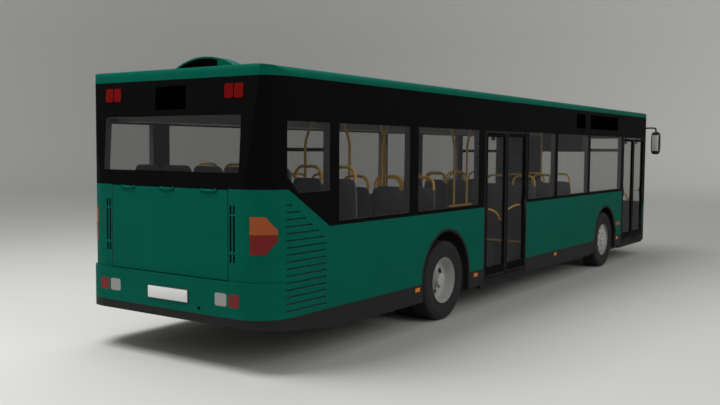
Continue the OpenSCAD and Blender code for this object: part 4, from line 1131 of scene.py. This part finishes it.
@dataclass
class Wheels:
    """Grooved tyres, the faces of the twin wheels and the wheel nuts."""

    materials: Materials
    radius: float = 0.482
    width: float = 0.280
    bead: float = 0.286
    twin_gap: float = 0.040
    grooves: tuple[float, ...] = (-0.075, -0.026, 0.026, 0.075)
    # Groove: depth, half its width and the share of that at its floor
    groove: tuple[float, float, float] = (0.012, 0.006, 0.7)
    shoulder: float = 0.040
    # Sidewall: height above the bead and depth behind the widest place, from the bead outwards
    wall: tuple[Span, ...] = (
        (0.002, 0.040), (-0.010, 0.032), (-0.011, 0.012), (-0.006, 0.008), (0.014, 0.007),
        (0.026, 0.010), (0.029, 0.011), (0.035, 0.010), (0.038, 0.008), (0.075, 0.003),
        (0.112, 0.002), (0.115, 0.0005), (0.121, 0.0005), (0.124, 0.002))
    # Outer face of the twin wheel: radius and distance out from the middle of the pair
    dish: tuple[Span, ...] = (
        (0.2705, 0.283), (0.264, 0.262), (0.252, 0.215), (0.244, 0.180), (0.233, 0.158),
        (0.215, 0.149), (0.195, 0.147), (0.178, 0.147), (0.138, 0.147), (0.122, 0.147),
        (0.105, 0.149), (0.090, 0.156), (0.082, 0.166), (0.080, 0.235), (0.076, 0.245),
        (0.060, 0.249))
    # Hand holes: strip of the face and how many steps of a pitch stay open
    holes: tuple[tuple[int, int], ...] = ((6, 6), (7, 10), (8, 6))
    nut_count: int = 10
    # Nuts: radius of their ring, radius and height of one
    front_nut: Point = (0.118, 0.017, 0.034)
    rear_nut: Point = (0.108, 0.012, 0.020)
    nut_face: float = 0.146
    nut_sink: float = 0.004
    tyre_smooth: float = 30.0

    def build(self) -> None:
        """Dresses the four wheels."""
        for side, word in ((1.0, "left"), (-1.0, "right")):
            body = f"front_wheel_{word}"
            self._tyres(f"front_tread_{word}", body, f"front_tyre_{word}")
            self._nuts(f"front_nuts_{word}", body, f"front_rim_{word}", side)
            body = f"rear_wheel_{word}"
            self._tyres(f"rear_tread_{word}", body, f"rear_tyres_{word}")
            self._dish(f"rear_dish_{word}", body, f"rear_wheel_{word}", side)

    def _section(self, half: float) -> list[Span]:
        """Outline of one tyre with its grooves and sidewall ribs.

        Args:
            half: Half the tyre's width.

        Returns:
            Radius and place across the tyre of each corner, as a closed ring.
        """
        r, bend = self.radius - 0.001, self.shoulder
        depth, slot, share = self.groove
        crown: list[Span] = []
        for g in self.grooves:
            crown += [(r, g - slot), (r - depth, g - slot * share), (r - depth, g + slot * share),
                      (r, g + slot)]
        outside = [(self.bead + rise, half - drop) for rise, drop in self.wall]
        outside += [(r - bend + bend * s, half - 0.002 - bend + bend * c) for c, s in quarter(6)]
        return [(a, -b) for a, b in outside] + crown + list(reversed(outside))

    @staticmethod
    def _extent(node: str) -> tuple[Vector, float]:
        """Middle and width of a solid, from its own box."""
        low, high = (Vector(c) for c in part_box(node))
        return (low + high) / 2, high.y - low.y

    def _tyres(self, name: str, body: str, node: str) -> None:
        """Makes the tyres of one body, one or a pair after the width of its solid.

        Args:
            name: Name of the piece.
            body: The wheel's body.
            node: The solid that the piece replaces.
        """
        centre, wide = self._extent(node)
        count = 1 if wide < 1.5 * self.width else 2
        each = (wide - self.twin_gap * (count - 1)) / count
        shaper = Shaper()
        for k in range(count):
            y = centre.y - wide / 2 + each / 2 + k * (each + self.twin_gap)
            shaper.lathe(self._section(each / 2), (centre.x, y, centre.z))
        rubber = self.materials.finish(Palette.TYRE)
        shaper.piece(name, rubber, body, "tyre", (node,), self.tyre_smooth)

    def _dish(self, name: str, body: str, node: str, side: float) -> None:
        """Adds the pressed outer face of a twin wheel, with its hub and nuts.

        Args:
            name: Name of the piece.
            body: The wheel's body.
            node: The wheel's solid.
            side: 1 on the left, -1 on the right.
        """
        centre, _ = self._extent(node)
        ring, size, tall = self.rear_nut
        shaper = Shaper().dish(self.dish, dict(self.holes), tuple(centre), side)
        seat = (centre.x, centre.y + side * self.nut_face, centre.z)
        shaper.nuts(seat, ring, self.nut_count, size, side, tall)
        shaper.piece(name, self.materials.finish(Palette.RIM), body, "rim")

    def _nuts(self, name: str, body: str, node: str, side: float) -> None:
        """Adds the ring of nuts of one front wheel.

        Args:
            name: Name of the piece.
            body: The wheel's body.
            node: The rim's solid.
            side: 1 on the left, -1 on the right.
        """
        centre, _ = self._extent(node)
        ring, size, tall = self.front_nut
        seat = (centre.x, self._face(node, centre, side, ring) - side * self.nut_sink, centre.z)
        shaper = Shaper().nuts(seat, ring, self.nut_count, size, side, tall)
        shaper.piece(name, self.materials.finish(Palette.NUT), body, "rim")

    @staticmethod
    def _face(node: str, centre: Vector, side: float, ring: float) -> float:
        """Reads the outer face of a wheel at one radius from the solid.

        Args:
            node: The wheel's solid.
            centre: Its middle.
            side: 1 on the left, -1 on the right.
            ring: The radius.

        Returns:
            The face's place across the bus.
        """
        obj = bpy.data.objects[node]
        origin = Vector((centre.x + ring, centre.y + side, centre.z))
        aim = Vector((0.0, -side, 0.0))
        hit, spot, _, _ = obj.ray_cast(obj.matrix_world.inverted() @ origin, aim)
        return spot.y if hit else centre.y


@dataclass
class Tail:
    """Blank number plate on its holder."""

    materials: Materials
    # Lowest and highest place, right and left edge
    plate: tuple[float, float, float, float] = (0.592, 0.722, -0.315, 0.245)

    def build(self) -> None:
        """Makes the pieces of the tail."""
        low, high, right, left = self.plate
        holder = Shaper().slab((BUMPER_X - 0.009, BUMPER_X + 0.003), (right, left), (low, high),
                               0.004, 3)
        holder.piece("plate_holder", self.materials.finish(Palette.FRAME), ROOT, "dark")
        blank = Shaper().slab((BUMPER_X - 0.0125, BUMPER_X - 0.006), (right + 0.008, left - 0.008),
                              (low + 0.007, high - 0.007), 0.0025, 2)
        blank.piece("blank_plate", self.materials.finish(Palette.PLATE), ROOT, "lamp_clear")


@dataclass
class Sides:
    """Hopper bars, reflectors, arch stops and mirrors."""

    materials: Materials
    # Side of the bus, rear and front end ahead of the rear axle, height
    hoppers: tuple[tuple[float, float, float, float], ...] = (
        (-1.0, 4.986, 6.664, 2.068), (1.0, -0.650, 0.890, 2.046), (1.0, 5.117, 6.700, 2.036))
    hopper_half: float = 0.026
    reflector: tuple[Span, Span] = ((6.437, 6.637), (0.693, 0.753))
    stop: tuple[Span, Span] = ((6.415, 6.445), (0.530, 0.660))
    arm: tuple[Point, ...] = (
        (8.201, 1.262, 2.510), (8.205, 1.290, 2.512), (8.235, 1.316, 2.514), (8.290, 1.325, 2.516),
        (8.600, 1.325, 2.522), (8.680, 1.325, 2.517), (8.725, 1.325, 2.495), (8.742, 1.325, 2.460),
        (8.745, 1.325, 2.420))
    arm_tube: float = 0.017
    # Mirror: middle and half size of its head, face ahead of the rear axle, across and upwards
    head: tuple[Point, Point] = ((8.745, 1.325, 2.220), (0.055, 0.089, 0.229))
    face: Box = ((8.687, 8.702), (1.262, 1.388), (2.06, 2.38))

    def build(self) -> None:
        """Makes the pieces of the sides."""
        bars, glow, stops = (Shaper() for _ in range(3))
        for side, start, end, z in self.hoppers:
            height = around(z, self.hopper_half)
            self._strip(bars, side, (start, end), height, (-0.020, -0.052), 0.005, 2)
        for side in SIDES:
            self._strip(glow, side, *self.reflector, (-0.004, 0.008), 0.006, 3)
            self._strip(stops, side, *self.stop, (-0.003, 0.007), 0.004, 2)
        bars.piece("hopper_bars", self.materials.finish(Palette.SEAL), ROOT, "dark")
        glow.piece("side_reflectors", self.materials.finish(Palette.REFLECTOR), ROOT, "lamp_amber")
        stops.piece("arch_stops", self.materials.finish(Palette.SEAL), ROOT, "dark")
        self._mirrors()

    @staticmethod
    def _strip(shaper: Shaper, side: float, x: Span, z: Span, out: Span, edge: float,
               steps: int) -> None:
        """Adds a strip on one side of the bus.

        Args:
            shaper: Collects the faces.
            side: 1 or -1, the side.
            x: Its ends ahead of the rear axle.
            z: Its lowest and highest place.
            out: How far its two faces stand out from the side.
            edge: Radius of its edges.
            steps: Segments across each edge.
        """
        y = ordered(*(side * (HALF_WIDTH + o) for o in out))
        shaper.slab((along(x[0]), along(x[1])), y, z, edge, steps)

    def _mirrors(self) -> None:
        """Rounded mirror heads on bent arms, with their faces."""
        heads, faces = Shaper(), Shaper()
        (x, y, z), half = self.head
        (rear, front), across, up = self.face
        for side in SIDES:
            heads.pillow((along(x), side * y, z), half, Vector.copy, 4.5)
            heads.tube([(along(px), side * py, pz) for px, py, pz in self.arm], self.arm_tube)
            wide = ordered(side * across[0], side * across[1])
            faces.slab((along(rear), along(front)), wide, up, 0.006, 3)
        heads.piece("mirror_heads", self.materials.finish(Palette.CAB), ROOT, "dark", ("mirrors",))
        faces.piece("mirror_faces", self.materials.finish(Palette.MIRROR), ROOT, "steel")


@dataclass
class Saloon:
    """Bent poles and rails, the box behind the windscreen and the cab's upper screen."""

    materials: Materials
    # Each pole: place ahead of the rear axle, across the bus, foot height, the way its top bends
    poles: tuple[tuple[float, float, float, float], ...] = (
        (-0.790, 0.285, 0.560, 1.0), (-0.655, -0.285, 0.400, -1.0), (0.063, -0.285, 0.400, 1.0),
        (1.023, 0.285, 0.330, -1.0), (2.000, -0.285, 0.330, -1.0), (2.400, -0.285, 0.330, 1.0),
        (6.540, 0.240, 0.330, 0.0))
    bend: float = 2.145
    top: float = 2.604
    # Bend: height from its middle and how far the pole has moved over there
    bend_path: tuple[Span, ...] = ((-0.06, 0.0), (-0.01, 0.006), (0.035, 0.022))
    lean: float = 0.455 * math.tan(math.radians(27.0))
    tube: float = 0.017
    # Rail that joins the two poles by the middle doorway
    joint_rail: tuple[Point, ...] = (
        (1.850, -0.285, 1.240), (2.200, -0.285, 1.240), (2.550, -0.285, 1.240))
    guard: tuple[Point, ...] = (
        (2.400, -0.285, 0.730), (2.425, -0.300, 0.730), (2.440, -0.330, 0.730),
        (2.440, -1.195, 0.730))
    sign_box: Box = ((8.150, 8.350), (0.020, 1.080), (2.030, 2.598))
    screen: Box = ((6.578, 6.612), (0.262, 1.195), (1.998, 2.330))
    # Panel: rim round its door, places of the latches as shares
    rim: float = 0.035
    latch_shares: Span = (0.25, 0.75)

    def build(self) -> None:
        """Makes the pieces of the saloon."""
        tubes = Shaper()
        for x, y, foot, way in self.poles:
            path = [(x, y, foot)]
            path += [(x + way * over, y, self.bend + rise) for rise, over in self.bend_path]
            self._run(tubes, [*path, (x + way * self.lean, y, self.top)])
        self._run(tubes, self.joint_rail)
        self._run(tubes, self.guard)
        yellow = self.materials.finish(Palette.YELLOW)
        tubes.piece("saloon_poles", yellow, ROOT, "yellow", ("handrails",))
        self._panel("sign_box", self.sign_box)
        self._panel("cab_screen", self.screen)

    def _run(self, tubes: Shaper, path: Iterable[Point]) -> None:
        """Adds a tube whose path is given ahead of the rear axle."""
        tubes.tube([(along(x), y, z) for x, y, z in path], self.tube)

    def _panel(self, name: str, box: Box) -> None:
        """Moulded box with a raised door on its rear face and two latches.

        Args:
            name: Name of the piece.
            box: Its reach ahead of the rear axle, across the bus and upwards.
        """
        (start, end), (right, left), (low, high) = box
        rear, rim = along(start), self.rim
        shaper = Shaper().slab((rear, along(end)), (right, left), (low, high), 0.012, 3)
        shaper.slab((rear - 0.008, rear + 0.004), (right + rim, left - rim),
                    (low + rim, high - rim), 0.006, 3)
        for share in self.latch_shares:
            y = around(right + share * (left - right), 0.025)
            shaper.slab((rear - 0.016, rear - 0.004), y, (low + 0.05, low + 0.08), 0.004, 2)
        shaper.piece(name, self.materials.finish(Palette.CAB), ROOT, "dark")


@dataclass
class Studio:
    """Pale sweep, soft lights and the camera at the photograph's place."""

    # Camera: place, turn, tilt and roll in degrees, lens in millimetres
    eye: Point = (-11.6654, -6.1188, 2.0688)
    yaw: float = 34.4525
    pitch: float = -3.678
    roll: float = 0.42
    lens: float = 42.098
    # Sweep: radius of the flat floor, radius of the bend, top of the wall
    floor: float = 34.0
    bend: float = 9.0
    wall: float = 20.0
    # Paper: tooth near the bus, and far away painted light and shade, from dark on the side that
    # the painted shade faces to bright elsewhere
    tooth: tuple[Colour, Colour] = ((0.47, 0.47, 0.455), (0.53, 0.53, 0.515))
    far: Span = (12.0, 40.0)
    painted_light_and_shade: tuple[Colour, Colour] = ((0.56, 0.56, 0.54), (0.93, 0.925, 0.895))
    painted_shade_way: Point = (0.669, 0.743, 0.0)
    # Lights: name, place, aim, edge of the square and power in watts
    lamps: tuple[tuple[str, Point, Point, float, float], ...] = (
        ("key_light", (-9.0, 3.0, 11.0), (-9.6, -0.6, 0.0), 6.0, 1220.0),
        ("side_light", (-4.0, -16.0, 9.0), (0.0, 0.0, 2.2), 9.0, 800.0),
        ("top_light", (0.0, 4.5, 13.0), (0.0, 1.0, 0.0), 9.0, 700.0))
    air: float = 0.85

    def build(self) -> None:
        """Makes the floor, the backdrop, the lamps, the world and the camera."""
        self._sweep()
        for lamp in self.lamps:
            self._lamp(*lamp)
        self._world()
        self._camera()

    def _sweep(self) -> None:
        """Round floor that curves up into a backdrop on all sides."""
        bm = bmesh.new()
        sides, rounds, steps = 96, 8, 12
        profile = [(self.floor * k / rounds, 0.0) for k in range(1, rounds + 1)]
        profile += [(self.floor + self.bend * s, self.bend - self.bend * c)
                    for c, s in quarter(steps)[1:]]
        profile.append((self.floor + self.bend, self.wall))
        middle = bm.verts.new((0.0, 0.0, 0.0))
        rings = [[bm.verts.new((reach * c, reach * s, rise)) for c, s in circle(sides)]
                 for reach, rise in profile]
        for k in range(sides):
            n = (k + 1) % sides
            bm.faces.new((middle, rings[0][k], rings[0][n]))
            for low, high in zip(rings, rings[1:]):
                bm.faces.new((low[k], high[k], high[n], low[n]))
        mesh = bpy.data.meshes.new("studio_sweep")
        bm.to_mesh(mesh)
        bm.free()
        mesh.shade_smooth()
        mesh.materials.append(self._paper())
        sweep = bpy.data.objects.new("studio_sweep", mesh)
        bpy.context.scene.collection.objects.link(sweep)

    def _paper(self) -> bpy.types.Material:
        """Pale grey paper with a faint tooth; far from the bus it is painted brighter, with painted
        shade towards one direction.

        Returns:
            The material.
        """
        material = bpy.data.materials.new("studio_paper")
        material.use_nodes = True
        net = Net(material.node_tree)
        place = net.place()
        tooth = net.add("ValToRGB", {"Fac": net.noise(place, 60.0, 4.0)})
        for element, colour in zip(tooth.color_ramp.elements, self.tooth):
            element.color = (*colour, 1.0)
        reach = net.vector("LENGTH", "Value", {0: place})
        way = net.vector("NORMALIZE", "Vector", {0: place})
        # Painted shade: far from the bus the paper darkens towards one way round it
        turn = net.vector("DOT_PRODUCT", "Value", {0: way, 1: self.painted_shade_way})
        fade = net.math("POWER", net.ramp(turn, 1.0, 0.74, 0.0, 1.0), 0.6)
        dark, bright = ((*colour, 1.0) for colour in self.painted_light_and_shade)
        # Painted light: with distance the paper turns from its tooth to the brighter painted
        # colours
        far = net.ramp(reach, *self.far, 0.0, 1.0)
        colour = net.mix(far, tooth.outputs["Color"], net.mix(fade, dark, bright))
        shader = material.node_tree.nodes["Principled BSDF"]
        net.feed(shader, {"Base Color": colour, "Roughness": 0.85})
        return material

    @staticmethod
    def _lamp(name: str, place: Point, aim: Point, size: float, power: float) -> None:
        """Adds one square soft light.

        Args:
            name: Name of the light.
            place: Where it hangs.
            aim: The point that it faces.
            size: Edge of the square.
            power: Its power in watts.
        """
        light = bpy.data.lights.new(name, "AREA")
        light.size = size
        light.energy = power
        lamp = bpy.data.objects.new(name, light)
        lamp.location = place
        lamp.rotation_euler = (Vector(aim) - Vector(place)).to_track_quat("-Z", "Y").to_euler()
        bpy.context.scene.collection.objects.link(lamp)

    def _world(self) -> None:
        """Even pale surroundings."""
        world = bpy.data.worlds.new("studio_air")
        world.use_nodes = True
        backdrop = world.node_tree.nodes["Background"]
        backdrop.inputs["Color"].default_value = (0.5, 0.5, 0.5, 1.0)
        backdrop.inputs["Strength"].default_value = self.air
        bpy.context.scene.world = world

    def _camera(self) -> None:
        """Camera fitted to the photograph."""
        yaw, pitch, roll = (math.radians(a) for a in (self.yaw, self.pitch, self.roll))
        flat = math.cos(pitch)
        ahead = Vector((flat * math.cos(yaw), flat * math.sin(yaw), math.sin(pitch)))
        level = Vector((math.sin(yaw), -math.cos(yaw), 0.0))
        upright = level.cross(ahead)
        right = level * math.cos(roll) + upright * math.sin(roll)
        up = upright * math.cos(roll) - level * math.sin(roll)
        turn = Matrix((right, up, -ahead)).transposed().to_4x4()
        data = bpy.data.cameras.new("photo_camera")
        data.lens = self.lens
        data.sensor_width = 36.0
        data.clip_end = 200.0
        camera = bpy.data.objects.new("photo_camera", data)
        camera.matrix_world = Matrix.Translation(self.eye) @ turn
        bpy.context.scene.collection.objects.link(camera)
        bpy.context.scene.camera = camera


def main() -> None:
    """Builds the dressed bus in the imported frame."""
    logging.basicConfig(level=logging.INFO, format="%(name)s: %(message)s")
    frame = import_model()
    bpy.context.scene.view_settings.view_transform = "Standard"
    materials = Materials(ShaderGroups())
    Studio().build()
    Coachwork(materials).dress(frame["nodes"])
    for maker in (Seats, Doors, Wheels, Tail, Sides, Saloon):
        maker(materials).build()


if __name__ == "__main__":
    main()
